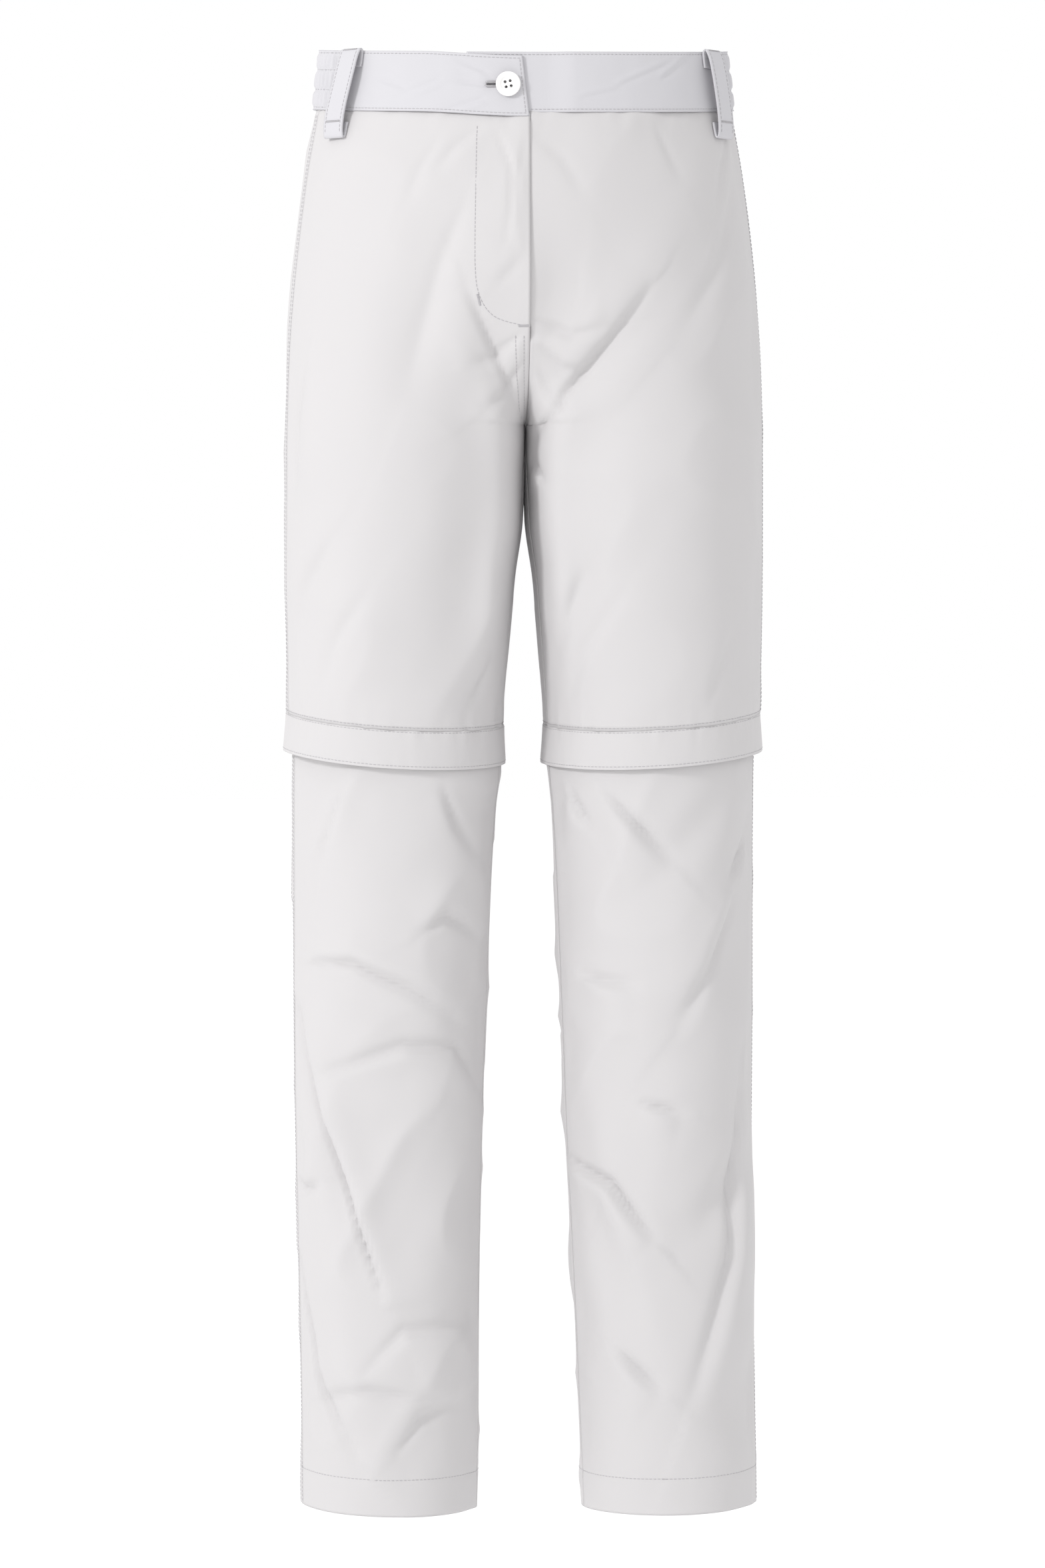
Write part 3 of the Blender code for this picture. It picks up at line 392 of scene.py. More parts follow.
# Creases: side, back, points of run and height, width at each end, depth, ridge and its side
SHORTS_CREASES = (
    (1, 0, ((0.60, -172), (0.72, -208), (0.86, -246), (0.93, -280)), 5.0, 3.5, 1.6, 0.8),
    (1, 0, ((0.93, -294), (0.89, -306)), 2.2, 1.8, 1.1, 0.9),
    (1, 0, ((0.965, -196), (0.86, -206), (0.74, -200)), 3.0, 7.0, 1.0, -0.7),
    (1, 0, ((0.965, -214), (0.88, -228), (0.78, -232)), 2.6, 6.0, 1.1, -0.7),
    (1, 0, ((0.97, -230), (0.90, -250), (0.82, -262)), 2.4, 5.0, 0.9, 0.7),
    (1, 0, ((0.16, -96), (0.30, -150), (0.48, -205)), 6.0, 12.0, 0.9, 0.7),
    (1, 0, ((0.12, -60), (0.22, -84), (0.30, -120)), 4.0, 8.0, 0.8, -0.6),
    (1, 0, ((0.74, -368), (0.84, -398), (0.90, -420)), 5.0, 8.0, 0.9, 0.7),
    (1, 0, ((0.60, -380), (0.78, -425), (0.84, -455)), 5.0, 8.0, 0.8, -0.7),
    (1, 0, ((0.22, -410), (0.30, -440), (0.34, -462)), 6.0, 4.0, 0.7, 0.6),
    (-1, 0, ((0.80, -112), (0.66, -190), (0.54, -246)), 6.0, 13.0, 1.0, 0.7),
    (-1, 0, ((0.80, -172), (0.88, -214), (0.94, -250)), 5.0, 4.0, 1.2, -0.8),
    (-1, 0, ((0.97, -206), (0.88, -222), (0.78, -226)), 2.6, 6.0, 1.0, 0.7),
    (-1, 0, ((0.97, -226), (0.90, -246), (0.80, -258)), 2.4, 6.0, 0.9, -0.7),
    (-1, 0, ((0.14, -226), (0.08, -262), (0.06, -316)), 5.0, 9.0, 1.1, 0.7),
    (-1, 0, ((0.26, -346), (0.14, -384), (0.10, -412)), 6.0, 9.0, 0.9, -0.7),
    (-1, 0, ((0.40, -382), (0.28, -420), (0.24, -446)), 6.0, 8.0, 0.8, 0.7),
    (-1, 0, ((0.88, -424), (0.80, -446), (0.74, -462)), 5.0, 4.0, 0.9, -0.7),
    (-1, 0, ((0.84, -52), (0.76, -66), (0.70, -84)), 2.5, 6.0, 0.7, 0.6),
    (-1, 0, ((0.90, -54), (0.945, -80), (0.945, -113), (0.935, -139)), 2.2, 3.0, 0.7, 0.8),
    (-1, 0, ((0.985, -60), (0.965, -92), (0.975, -130)), 2.0, 3.0, 0.5, -0.7),
    (-1, 0, ((0.90, -171), (0.95, -160), (0.985, -152)), 3.0, 4.0, 0.6, 0.7),
    (-1, 0, ((0.70, -60), (0.64, -84), (0.60, -110)), 3.0, 8.0, 0.5, 0.6),
    (1, 0, ((0.97, -60), (0.90, -76), (0.84, -104)), 2.5, 7.0, 0.5, 0.6),
    (1, 0, ((0.55, -52), (0.50, -74), (0.46, -92)), 3.0, 7.0, 0.4, 0.6),
    (1, 1, ((0.96, -228), (0.80, -216), (0.60, -186)), 4.0, 9.0, 1.4, 0.7),
    (-1, 1, ((0.96, -222), (0.80, -212), (0.58, -180)), 4.0, 9.0, 1.4, -0.7),
    (1, 1, ((0.95, -262), (0.70, -288), (0.42, -296)), 4.0, 9.0, 1.4, -0.7),
    (-1, 1, ((0.95, -264), (0.70, -294), (0.46, -306)), 4.0, 9.0, 1.4, 0.7),
    (1, 1, ((0.20, -330), (0.42, -380), (0.60, -400)), 6.0, 9.0, 1.0, 0.7),
    (-1, 1, ((0.18, -340), (0.40, -372), (0.62, -410)), 6.0, 9.0, 1.0, -0.7),
    (1, 1, ((0.80, -410), (0.60, -440), (0.36, -446)), 5.0, 8.0, 1.0, 0.7),
    (-1, 1, ((0.82, -404), (0.62, -436), (0.40, -440)), 5.0, 8.0, 1.0, 0.7),
)
LEG_CREASES = (
    (-1, 0, ((0.15, -645), (0.36, -640), (0.56, -655), (0.76, -676)), 2.5, 7.0, 1.2, 0.8),
    (-1, 0, ((0.60, -616), (0.70, -603), (0.88, -618)), 4.0, 6.0, 0.9, 0.7),
    (-1, 0, ((0.22, -722), (0.55, -695), (0.78, -698), (0.90, -724)), 4.0, 7.0, 1.1, -0.7),
    (-1, 0, ((0.04, -682), (0.20, -748), (0.34, -808), (0.47, -872)), 6.0, 2.6, 1.7, 0.8),
    (-1, 0, ((0.03, -856), (0.10, -896), (0.20, -948), (0.36, -986)), 3.0, 7.0, 1.3, 0.7),
    (-1, 0, ((0.40, -930), (0.55, -899), (0.90, -896)), 4.0, 8.0, 0.9, -0.7),
    (-1, 0, ((0.20, -950), (0.42, -942), (0.70, -950)), 4.0, 7.0, 0.9, 0.7),
    (-1, 0, ((0.52, -986), (0.62, -962), (0.82, -950)), 3.0, 7.0, 0.8, 0.7),
    (-1, 0, ((0.03, -800), (0.10, -806), (0.18, -800)), 2.5, 5.0, 0.9, 0.7),
    (-1, 0, ((0.30, -520), (0.24, -548), (0.20, -572)), 3.0, 7.0, 0.8, 0.6),
    (-1, 0, ((0.66, -514), (0.74, -540), (0.84, -560)), 3.0, 7.0, 0.8, -0.6),
    (1, 0, ((0.86, -518), (0.78, -540)), 2.5, 4.5, 1.0, 0.8),
    (1, 0, ((0.68, -518), (0.56, -542), (0.46, -566)), 3.0, 7.0, 1.2, 0.7),
    (1, 0, ((0.84, -646), (0.60, -653)), 2.5, 6.0, 0.9, 0.7),
    (1, 0, ((0.97, -780), (0.72, -794), (0.55, -834)), 2.4, 6.0, 1.6, 0.8),
    (1, 0, ((0.58, -736), (0.44, -744)), 2.5, 5.0, 0.9, 0.7),
    (1, 0, ((0.72, -914), (0.54, -942)), 3.0, 6.0, 1.1, 0.7),
    (1, 0, ((0.14, -736), (0.22, -854), (0.42, -948)), 5.0, 10.0, 1.4, -0.8),
    (1, 0, ((0.18, -598), (0.30, -642), (0.44, -680)), 5.0, 8.0, 1.0, 0.7),
    (1, 0, ((0.10, -560), (0.22, -590)), 3.0, 6.0, 0.8, -0.7),
    (-1, 1, ((0.10, -612), (0.40, -640), (0.72, -682)), 4.0, 8.0, 1.3, 0.7),
    (-1, 1, ((0.90, -560), (0.60, -580), (0.40, -576)), 4.0, 8.0, 1.0, -0.7),
    (-1, 1, ((0.16, -836), (0.40, -800), (0.66, -762)), 5.0, 8.0, 1.2, 0.7),
    (-1, 1, ((0.80, -880), (0.50, -930), (0.30, -944)), 5.0, 8.0, 1.0, 0.7),
    (1, 1, ((0.16, -648), (0.42, -622), (0.72, -598)), 4.0, 8.0, 1.3, -0.7),
    (1, 1, ((0.12, -756), (0.36, -806), (0.62, -852)), 4.0, 8.0, 1.3, 0.7),
    (1, 1, ((0.90, -700), (0.70, -720), (0.46, -716)), 4.0, 8.0, 1.0, 0.7),
    (1, 1, ((0.84, -900), (0.56, -940), (0.28, -950)), 5.0, 8.0, 1.0, -0.7),
)


# Turns and stretches the ground of the soft creases, so that they run aslant
LEAN = np.array(((0.90, 0.0, 0.30), (0.0, 0.8, 0.1), (-0.45, 0.0, 0.75)))


def puckers(angle, z, seam_z, reach, amount, seed):
    """Small upright waves that die away from a sewn seam."""
    a = np.radians(angle)
    ring = np.stack([74 * MM * np.cos(a), 74 * MM * np.sin(a), 0.12 * z + 0.0 * a], -1)
    fine = noise(ring, 5.0 * MM, seed) + 0.7 * noise(ring, 9.0 * MM, seed + 5)
    return amount * fine * np.exp(-np.abs(z - seam_z) / reach)


class Panel:
    """A cloth piece whose outer face is known at every run and height."""

    def __init__(self, point, lift, sign):
        self.point, self.lift, self.sign = point, lift, sign

    def facing(self, run, z, point=None):
        point = point or self.point
        e, d = 0.003, 0.5 * MM
        du = point(np.minimum(run + e, 1.0), z) - point(np.maximum(run - e, 0.0), z)
        dv = point(run, z + d) - point(run, z - d)
        n = np.cross(du, dv) * self.sign
        return n / np.maximum(np.linalg.norm(n, axis=-1, keepdims=True), 1e-15)

    def at(self, run, z):
        run, z = np.broadcast_arrays(np.asarray(run, float), np.asarray(z, float))
        return self.point(run, z) + self.facing(run, z) * self.lift(run, z)[..., None]

    def on(self, run, z, off=0.0):
        """Points just off the finished face, with the way it faces there."""
        n = self.facing(run, z, self.at)
        return self.at(run, z) + n * off, n


def held_edges(run, width=0.05):
    """0 at both edges of a panel, where its seams hold it, and 1 between them."""
    return smooth(0.0, width, run) * smooth(1.0, 1.0 - width, run)


def bell(value, width):
    return np.exp(-((value / width) ** 2))


def soft_ground(p, lumps, valleys):
    """Uneven cloth: rounded lumps and soft valleys, each with a depth and size in mm and a seed."""
    up = sum(deep * MM * noise(p, size * MM, seed) for deep, size, seed in lumps)
    deep, size, seed = valleys
    return up - deep * MM * np.abs(noise(p @ LEAN, size * MM, seed))


def shorts_panel(side, back):
    def point(run, z):
        return shorts_point(side, back, run, z)

    def lift(run, z):
        p = point(run, z)
        leg_a = run_angles(run, back)[1]
        edge = held_edges(run, 0.08)
        fine_edge = held_edges(run, 0.03)
        up = -fold_depth(SHORTS_FOLDS, side, back, run, z, 230.0) * edge
        up = up + 0.72 * creases(SHORTS_CREASES, side, back, run, z, 230.0) * fine_edge
        up = up + soft_ground(p, ((0.80, 58, 3), (0.22, 21, 4)), (3.2, 62, 14)) * edge
        up = up * (0.12 + 0.88 * smooth(KNEE_Z, KNEE_Z + 34 * MM, z))
        up = up + puckers(leg_a, z, KNEE_Z, 11 * MM, 0.62 * MM, 11) * smooth(0.0, 0.02, run)
        up = up - 1.5 * MM * smooth(-43.6 * MM, -42.2 * MM, z)
        up = up - 0.5 * MM * bell(z + 43.6 * MM, 1.5 * MM)
        waist_puckers = noise(p * [1, 1, 0.3], 8 * MM, 6) * np.exp((z + 43 * MM) / (10 * MM))
        return up + 0.40 * MM * waist_puckers * edge
    return Panel(point, lift, 1.0 * side if back else -1.0 * side)


def leg_panel(side, back):
    def point(run, z):
        return lower_panel(side, back, run, z)

    def lift(run, z):
        p = point(run, z)
        leg_a = run_angles(run, back)[1]
        edge = held_edges(run, 0.08)
        fine_edge = held_edges(run, 0.03)
        up = -fold_depth(LEG_FOLDS, side, back, run, z, 210.0) * edge
        up = up + 1.3 * creases(LEG_CREASES, side, back, run, z, 210.0) * fine_edge
        up = up + soft_ground(p, ((0.90, 50, 8), (0.25, 18, 9)), (4.2, 48, 19)) * edge
        hem = HEM_Z + HEM_TURN_UP
        up = up + puckers(leg_a, z, hem, 7 * MM, 0.22 * MM, 21)
        up = up - 0.25 * MM * bell(z - hem, 1.6 * MM)
        return up * smooth(KNEE_Z - LEG_TOP_BELOW, KNEE_Z - 40 * MM, z)
    return Panel(point, lift, 1.0 * side if back else -1.0 * side)


def shorts_heights(back, count):
    """Heights of a shorts panel's rows at the side seam and at the centre, closer round the fork."""
    top = -BAND_HEIGHT + 1.4 * MM
    curve_top = -170.0 * MM if back else -150.0 * MM
    centre = [top + (curve_top - top) * i / 5 for i in range(6)]
    turns = (15, 22, 26, 31, 40, 50, 60, 70, 80, 90)
    if back:
        turns = (12, 24, 34, 44, 54, 63, 71, 78, 84, 90)
    centre += [curve_top + (FORK_Z - curve_top) * math.sin(math.radians(a)) for a in turns]
    centre += [FORK_Z + (KNEE_Z - FORK_Z) * f for f in (0.07, 0.18, 0.32, 0.48, 0.65, 0.83, 1.0)]
    v = np.linspace(0, len(centre) - 1, count)
    side = top + (KNEE_Z - top) * v / (len(centre) - 1)
    return side, np.interp(v, np.arange(len(centre)), centre)


def put(obj, node=None):
    """Links a piece that rides on the body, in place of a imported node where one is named."""
    bpy.context.scene.collection.objects.link(obj)
    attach(obj, "root")
    if node:
        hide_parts(node)
    return obj


def mesh_of(name, verts, faces, mat, uvs=None):
    mesh = bpy.data.meshes.new(name)
    mesh.from_pydata(np.asarray(verts, float).tolist(), [], faces)
    if uvs is not None:
        layer = mesh.uv_layers.new(name="cloth")
        loops = np.empty(len(mesh.loops), dtype=np.int32)
        mesh.loops.foreach_get("vertex_index", loops)
        layer.data.foreach_set("uv", np.asarray(uvs, float)[loops].ravel())
    mesh.polygons.foreach_set("use_smooth", [True] * len(mesh.polygons))
    mesh.materials.append(mat)
    mesh.update()
    return bpy.data.objects.new(name, mesh)


def cloth(name, outer, inner, mat, closed=False):
    """A wall between two grids of points, with its flat size in metres as its UVs."""
    rows, cols = outer.shape[:2]
    verts = np.concatenate([outer.reshape(-1, 3), inner.reshape(-1, 3)])
    n = rows * cols
    wrap = cols if closed else cols - 1
    i, j = np.meshgrid(np.arange(rows - 1), np.arange(wrap), indexing="ij")
    a = i * cols + j
    b = i * cols + (j + 1) % cols
    c = (i + 1) * cols + (j + 1) % cols
    d = (i + 1) * cols + j
    mid = outer.reshape(-1, 3)
    away = (outer - inner).reshape(-1, 3)
    normal = np.cross(mid[b.ravel()] - mid[a.ravel()], mid[d.ravel()] - mid[a.ravel()])
    flip = (normal * away[a.ravel()]).sum() < 0
    quad = np.stack([a, b, c, d], -1).reshape(-1, 4)
    if flip:
        quad = quad[:, ::-1]
    faces = [quad, quad[:, ::-1] + n]
    edges = [(np.arange(wrap), (np.arange(wrap) + 1) % cols)]
    foot = (rows - 1) * cols
    edges.append((foot + (np.arange(wrap) + 1) % cols, foot + np.arange(wrap)))
    if not closed:
        upper, lower = np.arange(rows - 1) * cols, np.arange(1, rows) * cols
        edges += [(lower, upper), (upper + cols - 1, lower + cols - 1)]
    for p, q in edges:
        rim = np.stack([p, p + n, q + n, q], -1)
        faces.append(rim[:, ::-1] if flip else rim)
    step_u = np.linalg.norm(np.diff(outer, axis=1), axis=-1)
    u = np.concatenate([np.zeros((rows, 1)), np.cumsum(step_u, 1)], 1)
    u = u - u[:, cols // 2:cols // 2 + 1]
    step_v = np.linalg.norm(np.diff(outer, axis=0), axis=-1)
    v = -np.concatenate([np.zeros((1, cols)), np.cumsum(step_v, 0)], 0)
    uv = np.stack([u, v], -1).reshape(-1, 2)
    uv = np.concatenate([uv, uv])
    obj = mesh_of(name, verts, np.concatenate(faces).tolist(), mat, uv)
    obj["wide"] = float(step_u.sum(1).max())
    obj["long"] = float(step_v.sum(0).max())
    across = np.cross(outer[1:, 1:] - outer[:-1, :-1], outer[1:, :-1] - outer[:-1, 1:])
    obj["area"] = float((0.5 * np.linalg.norm(across, axis=-1)).sum())
    return obj


# Materials

def new_material(name, colour, roughness, metallic=0.0, sheen=0.0, coat=0.0):
    mat = bpy.data.materials.new(name)
    mat.use_nodes = True
    tree = mat.node_tree
    bsdf = tree.nodes["Principled BSDF"]
    bsdf.inputs["Base Color"].default_value = (*colour, 1.0)
    bsdf.inputs["Roughness"].default_value = roughness
    bsdf.inputs["Metallic"].default_value = metallic
    bsdf.inputs["Sheen Weight"].default_value = sheen
    bsdf.inputs["Sheen Roughness"].default_value = 0.5
    bsdf.inputs["Coat Weight"].default_value = coat
    return mat, tree, bsdf


def noise_node(tree, vector, scale, detail):
    made = tree.nodes.new("ShaderNodeTexNoise")
    made.inputs["Scale"].default_value = scale
    made.inputs["Detail"].default_value = detail
    tree.links.new(vector, made.inputs["Vector"])
    return made.outputs["Fac"]


def scaled_sum(tree, first, factor, second):
    """first times factor, plus second."""
    made = tree.nodes.new("ShaderNodeMath")
    made.operation = "MULTIPLY_ADD"
    tree.links.new(first, made.inputs[0])
    made.inputs[1].default_value = factor
    tree.links.new(second, made.inputs[2])
    return made.outputs[0]


def add_bump(tree, bsdf, height, strength, distance):
    made = tree.nodes.new("ShaderNodeBump")
    made.inputs["Strength"].default_value = strength
    made.inputs["Distance"].default_value = distance
    tree.links.new(height, made.inputs["Height"])
    tree.links.new(made.outputs["Normal"], bsdf.inputs["Normal"])


def scaled(tree, source, x, y):
    made = tree.nodes.new("ShaderNodeMapping")
    made.inputs["Scale"].default_value = (x, y, 1.0)
    tree.links.new(source, made.inputs["Vector"])
    return made.outputs["Vector"]


def woven(name, colour, dark, thread=0.42 * MM, rough=0.88):
    """Fine plain weave with faint lengthwise streaks, on UVs in metres."""
    mat, tree, bsdf = new_material(name, colour, rough, sheen=0.12)
    link = tree.links.new
    uv = tree.nodes.new("ShaderNodeTexCoord").outputs["UV"]
    warp = noise_node(tree, scaled(tree, uv, 900.0, 9.0), 1.0, 3.0)
    weft = noise_node(tree, scaled(tree, uv, 60.0, 1500.0), 1.0, 3.0)
    patch = noise_node(tree, uv, 11.0, 4.0)
    threads = scaled_sum(tree, warp, 1.2, weft)
    ramp = tree.nodes.new("ShaderNodeValToRGB")
    ramp.color_ramp.elements[0].position = 0.75
    ramp.color_ramp.elements[0].color = (*dark, 1.0)
    ramp.color_ramp.elements[1].color = (*colour, 1.0)
    ramp.color_ramp.interpolation = "EASE"
    link(scaled_sum(tree, patch, 0.6, threads), ramp.inputs["Fac"])
    link(ramp.outputs["Color"], bsdf.inputs["Base Color"])
    cross = tree.nodes.new("ShaderNodeMath")
    cross.operation = "MULTIPLY"
    for slot, axis in enumerate(("X", "Y")):
        wave = tree.nodes.new("ShaderNodeTexWave")
        wave.wave_type = "BANDS"
        wave.bands_direction = axis
        wave.inputs["Scale"].default_value = 2.0 * math.pi / (20.0 * thread)
        wave.inputs["Distortion"].default_value = 0.0
        link(uv, wave.inputs["Vector"])
        link(wave.outputs["Fac"], cross.inputs[slot])
    add_bump(tree, bsdf, scaled_sum(tree, threads, 0.6, cross.outputs[0]), 0.35, 0.05 * MM)
    return mat


CLOTH_MAT = woven("stone_cloth", (0.558, 0.545, 0.550), (0.515, 0.501, 0.505))
BAND_MAT = woven("band_cloth", (0.545, 0.538, 0.562), (0.510, 0.502, 0.525))
TAPE_MAT = woven("zip_tape", (0.50, 0.49, 0.485), (0.42, 0.41, 0.405), thread=0.7 * MM, rough=0.8)


def plain_grain(name, colour, roughness, grain, metallic=0.0, coat=0.0, size=900.0, deep=0.02):
    """An even surface with a fine grain, its bump deep millimetres high."""
    mat, tree, bsdf = new_material(name, colour, roughness, metallic, coat=coat)
    place = tree.nodes.new("ShaderNodeTexCoord").outputs["Object"]
    specks = noise_node(tree, place, size, 2.0)
    ramp = tree.nodes.new("ShaderNodeValToRGB")
    ramp.color_ramp.elements[0].color = (*[c * (1 - grain) for c in colour], 1.0)
    ramp.color_ramp.elements[1].color = (*colour, 1.0)
    tree.links.new(specks, ramp.inputs["Fac"])
    tree.links.new(ramp.outputs["Color"], bsdf.inputs["Base Color"])
    add_bump(tree, bsdf, specks, 0.3, deep * MM)
    return mat


THREAD_MAT = plain_grain("sewing_thread", (0.45, 0.44, 0.455), 0.6, 0.12, size=2500.0)
METAL_MAT = plain_grain("slider_metal", (0.62, 0.62, 0.63), 0.32, 0.2, metallic=1.0)
BUTTON_MAT = plain_grain("button_plastic", (0.86, 0.85, 0.84), 0.2, 0.03, coat=0.5, size=300.0,
                         deep=0.01)
TEETH_MAT = plain_grain("zip_teeth", (0.66, 0.65, 0.645), 0.4, 0.1, size=1500.0)


# The shorts and the lower legs

PANELS = {}
for word, side in (("right", -1), ("left", 1)):
    for where, back in (("front", 0), ("back", 1)):
        panel = shorts_panel(side, back)
        at_side, at_centre = shorts_heights(back, 150)
        c = np.linspace(0, 1, 84 if back else 74)
        runs = c if back else 1.0 - (1.0 - c) ** 1.15
        z = at_side[:, None] + (at_centre - at_side)[:, None] * runs[None, :] ** 1.6
        run = np.broadcast_to(runs, z.shape)
        outer = panel.at(run, z)
        inner = outer - panel.facing(run, z) * WALL
        inner[:, -1, 0] = side * np.maximum(side * inner[:, -1, 0], side * outer[:, -1, 0])
        name = "shorts_%s_%s" % (where, word)
        put(cloth(name + "_cloth", outer, inner, CLOTH_MAT), name)
        PANELS[name] = panel

        panel = leg_panel(side, back)
        top, stitch = KNEE_Z - LEG_TOP_BELOW, HEM_Z + HEM_TURN_UP
        zs = np.concatenate([np.linspace(top, stitch + 0.8 * MM, 165),
                             np.linspace(stitch - 0.8 * MM, HEM_Z, 14)])
        run, z = np.meshgrid(np.linspace(0, 1, 72 if back else 58), zs)
        outer = panel.at(run, z)
        wall = WALL * (1.0 + smooth(stitch + 1.5 * MM, stitch - 1.0 * MM, z))
        inner = outer - panel.facing(run, z) * wall[..., None]
        name = "leg_%s_%s" % (where, word)
        put(cloth(name + "_cloth", outer, inner, CLOTH_MAT), name)
        PANELS[name] = panel


# The waistband

STITCH_INSET = 1.9 * MM


def band_lift(p, down):
    """The soft ground of the band, the roll of its edges and the dips along its stitching."""
    f = down / BAND_HEIGHT
    edges = -0.35 * MM * (bell(f, 0.05) + bell(1 - f, 0.05))
    soft = 0.25 * MM * noise(p, 26 * MM, 31) + 0.12 * MM * noise(p, 11 * MM, 32)
    rows = bell(down - STITCH_INSET, 0.9 * MM)
    rows = rows + bell(BAND_HEIGHT - STITCH_INSET - down, 0.9 * MM)
    return edges + 1.6 * soft * smooth(0.0, 0.12, f) * smooth(1.0, 0.88, f) - 0.22 * MM * rows


# Drag wrinkles of the band: place across and height, way in degrees, length, depth, the rest in mm
DRAG_WRINKLES = (
    (-27, -34, 172, 34, 0.55),
    (-30, -42, 196, 40, 0.5),
    (-28, -25, 158, 30, 0.45),
    (-60, -28, 200, 36, 0.4),
    (-86, -34, 160, 30, 0.4),
    (60, -34, 25, 60, 0.35),
    (92, -28, 40, 40, 0.4),
    (34, -42, 12, 40, 0.3),
)


def drag(x, z):
    """Wrinkles that run from the button and towards the loops."""
    lift = 0.0
    for cx, cz, way, length, deep in DRAG_WRINKLES:
        a = math.radians(way)
        dx, dz = x / MM - cx, z / MM - cz
        t = dx * math.cos(a) + dz * math.sin(a)
        s = -dx * math.sin(a) + dz * math.cos(a)
        ends = smooth(-2.0, 6.0, t) * smooth(length, 0.4 * length, t)
        lift = lift + 1.5 * deep * MM * (bell(s - 2.6, 2.4) - bell(s, 2.0)) * ends
    return lift


# Rows down the band, and the slanting end of its right front section
BAND_DOWN = np.linspace(0, BAND_HEIGHT, 44)
END_X = BAND_END_TOP + (BAND_END_FOOT - BAND_END_TOP) * BAND_DOWN / BAND_HEIGHT
END_ANGLE = band_angle(END_X, BAND_DOWN)


def right_band_at(t, down, grow=0.0):
    """The right front section's face: t from its side seam to its end."""
    last = np.interp(down, BAND_DOWN, END_ANGLE)
    angle = ELASTIC_FRONT + (last - ELASTIC_FRONT) * t
    p = band_point(-1, angle, down, right_front=True)
    lift = (band_lift(p, down) + drag(p[..., 0], p[..., 2])) * smooth(1.0, 0.94, t)
    lift = lift * smooth(0.0, 0.04, t) - 0.35 * MM * bell(1 - t, 0.012)
    return band_point(-1, angle, down, lift + grow, right_front=True)


def left_band_at(t, down, grow=0.0):
    """The left front section's face, running on as the underlap behind the right one."""
    lap = math.degrees(UNDERLAP / (130.0 * MM))
    angle = ELASTIC_FRONT + (90.0 + lap - ELASTIC_FRONT) * t
    mirrored = np.minimum(angle, 180.0 - angle)
    tuck = UNDERLAP_TUCK * smooth(78.0, 86.0, angle)
    p = band_point(1, mirrored, down, 0.0)
    lift = (band_lift(p, down) + drag(p[..., 0], p[..., 2])) * smooth(84.0, 76.0, angle)
    lift = lift * smooth(0.0, 0.04, t)
    p = band_point(1, mirrored, down, lift - tuck + grow)
    p[..., 0] = np.where(angle > 90.0, -p[..., 0], p[..., 0])
    return p


def back_band_at(t, down, grow=0.0):
    first = -ELASTIC_BACK + SEAM_ANGLE
    a = first + (180.0 - 2.0 * first) * t
    p = band_point(-1, -np.minimum(a, 180.0 - a), down)
    lift = band_lift(p, down) * held_edges(t)
    p = band_point(-1, -np.minimum(a, 180.0 - a), down, lift + grow)
    p[..., 0] = np.where(a > 90.0, -p[..., 0], p[..., 0])
    return p


def side_band_at(side):
    """A side section's face, gathered over its elastic and held flat along four rows."""
    start, end = ELASTIC_FRONT - SEAM_ANGLE, ELASTIC_BACK + SEAM_ANGLE

    def at(t, down, grow=0.0):
        t, down = np.broadcast_arrays(np.asarray(t, float), np.asarray(down, float))
        a = start + (end - start) * t
        p = band_point(side, a, down)
        f = down / BAND_HEIGHT
        rough = noise(np.stack([t * 0.09, f * 0.02, 0 * t], -1), 6 * MM, 41 + side)
        phase = t * GATHERS + 0.16 * rough
        wave = (0.5 - 0.5 * np.cos(2 * np.pi * phase)) ** 0.8
        rows = np.zeros(t.shape)
        for row in (0.04, 0.33, 0.66, 0.96):
            rows = rows + bell(f - row, 0.045)
        held = 1.0 - 0.62 * np.clip(rows, 0, 1)
        deep = 2.1 + 0.5 * noise(p, 12 * MM, 43)
        lift = wave * held * deep * MM * np.minimum(1.0, np.minimum(t, 1 - t) / 0.03) - 0.2 * MM
        lift = lift - 0.3 * MM * (bell(f, 0.04) + bell(1 - f, 0.04))
        return band_point(side, a, down, lift + grow)
    return at


BANDS = {
    "band_front_right": (right_band_at, 150),
    "band_front_left": (left_band_at, 150),
    "band_back": (back_band_at, 130),
    "band_side_right": (side_band_at(-1), 170),
    "band_side_left": (side_band_at(1), 170),
}
for name, (at, columns) in BANDS.items():
    t, down = np.meshgrid(np.linspace(0, 1, columns), BAND_DOWN)
    outer = at(t, down)
    if name.startswith("band_side"):
        side = -1 if name.endswith("right") else 1
        a = ELASTIC_FRONT - SEAM_ANGLE + (ELASTIC_BACK - ELASTIC_FRONT + 2.0 * SEAM_ANGLE) * t
        inner = band_point(side, a, down, -BAND_WALL)
    else:
        inner = at(t, down, -BAND_WALL)
    if name == "band_front_right":
        band_outer, band_inner = outer, inner
        continue
    put(cloth(name + "_cloth", outer, inner, BAND_MAT), name)


# The buttonhole, cut through the right front section

def right_band_y(x, z):
    """How far back the right section's face lies at a place across and a height."""
    face_line = right_band_at(np.linspace(0.55, 1.0, 500), np.full(500, -z - FRONT_DIP - 2.0 * MM))
    return float(face_line[np.argmin(np.abs(face_line[:, 0] - x)), 1])


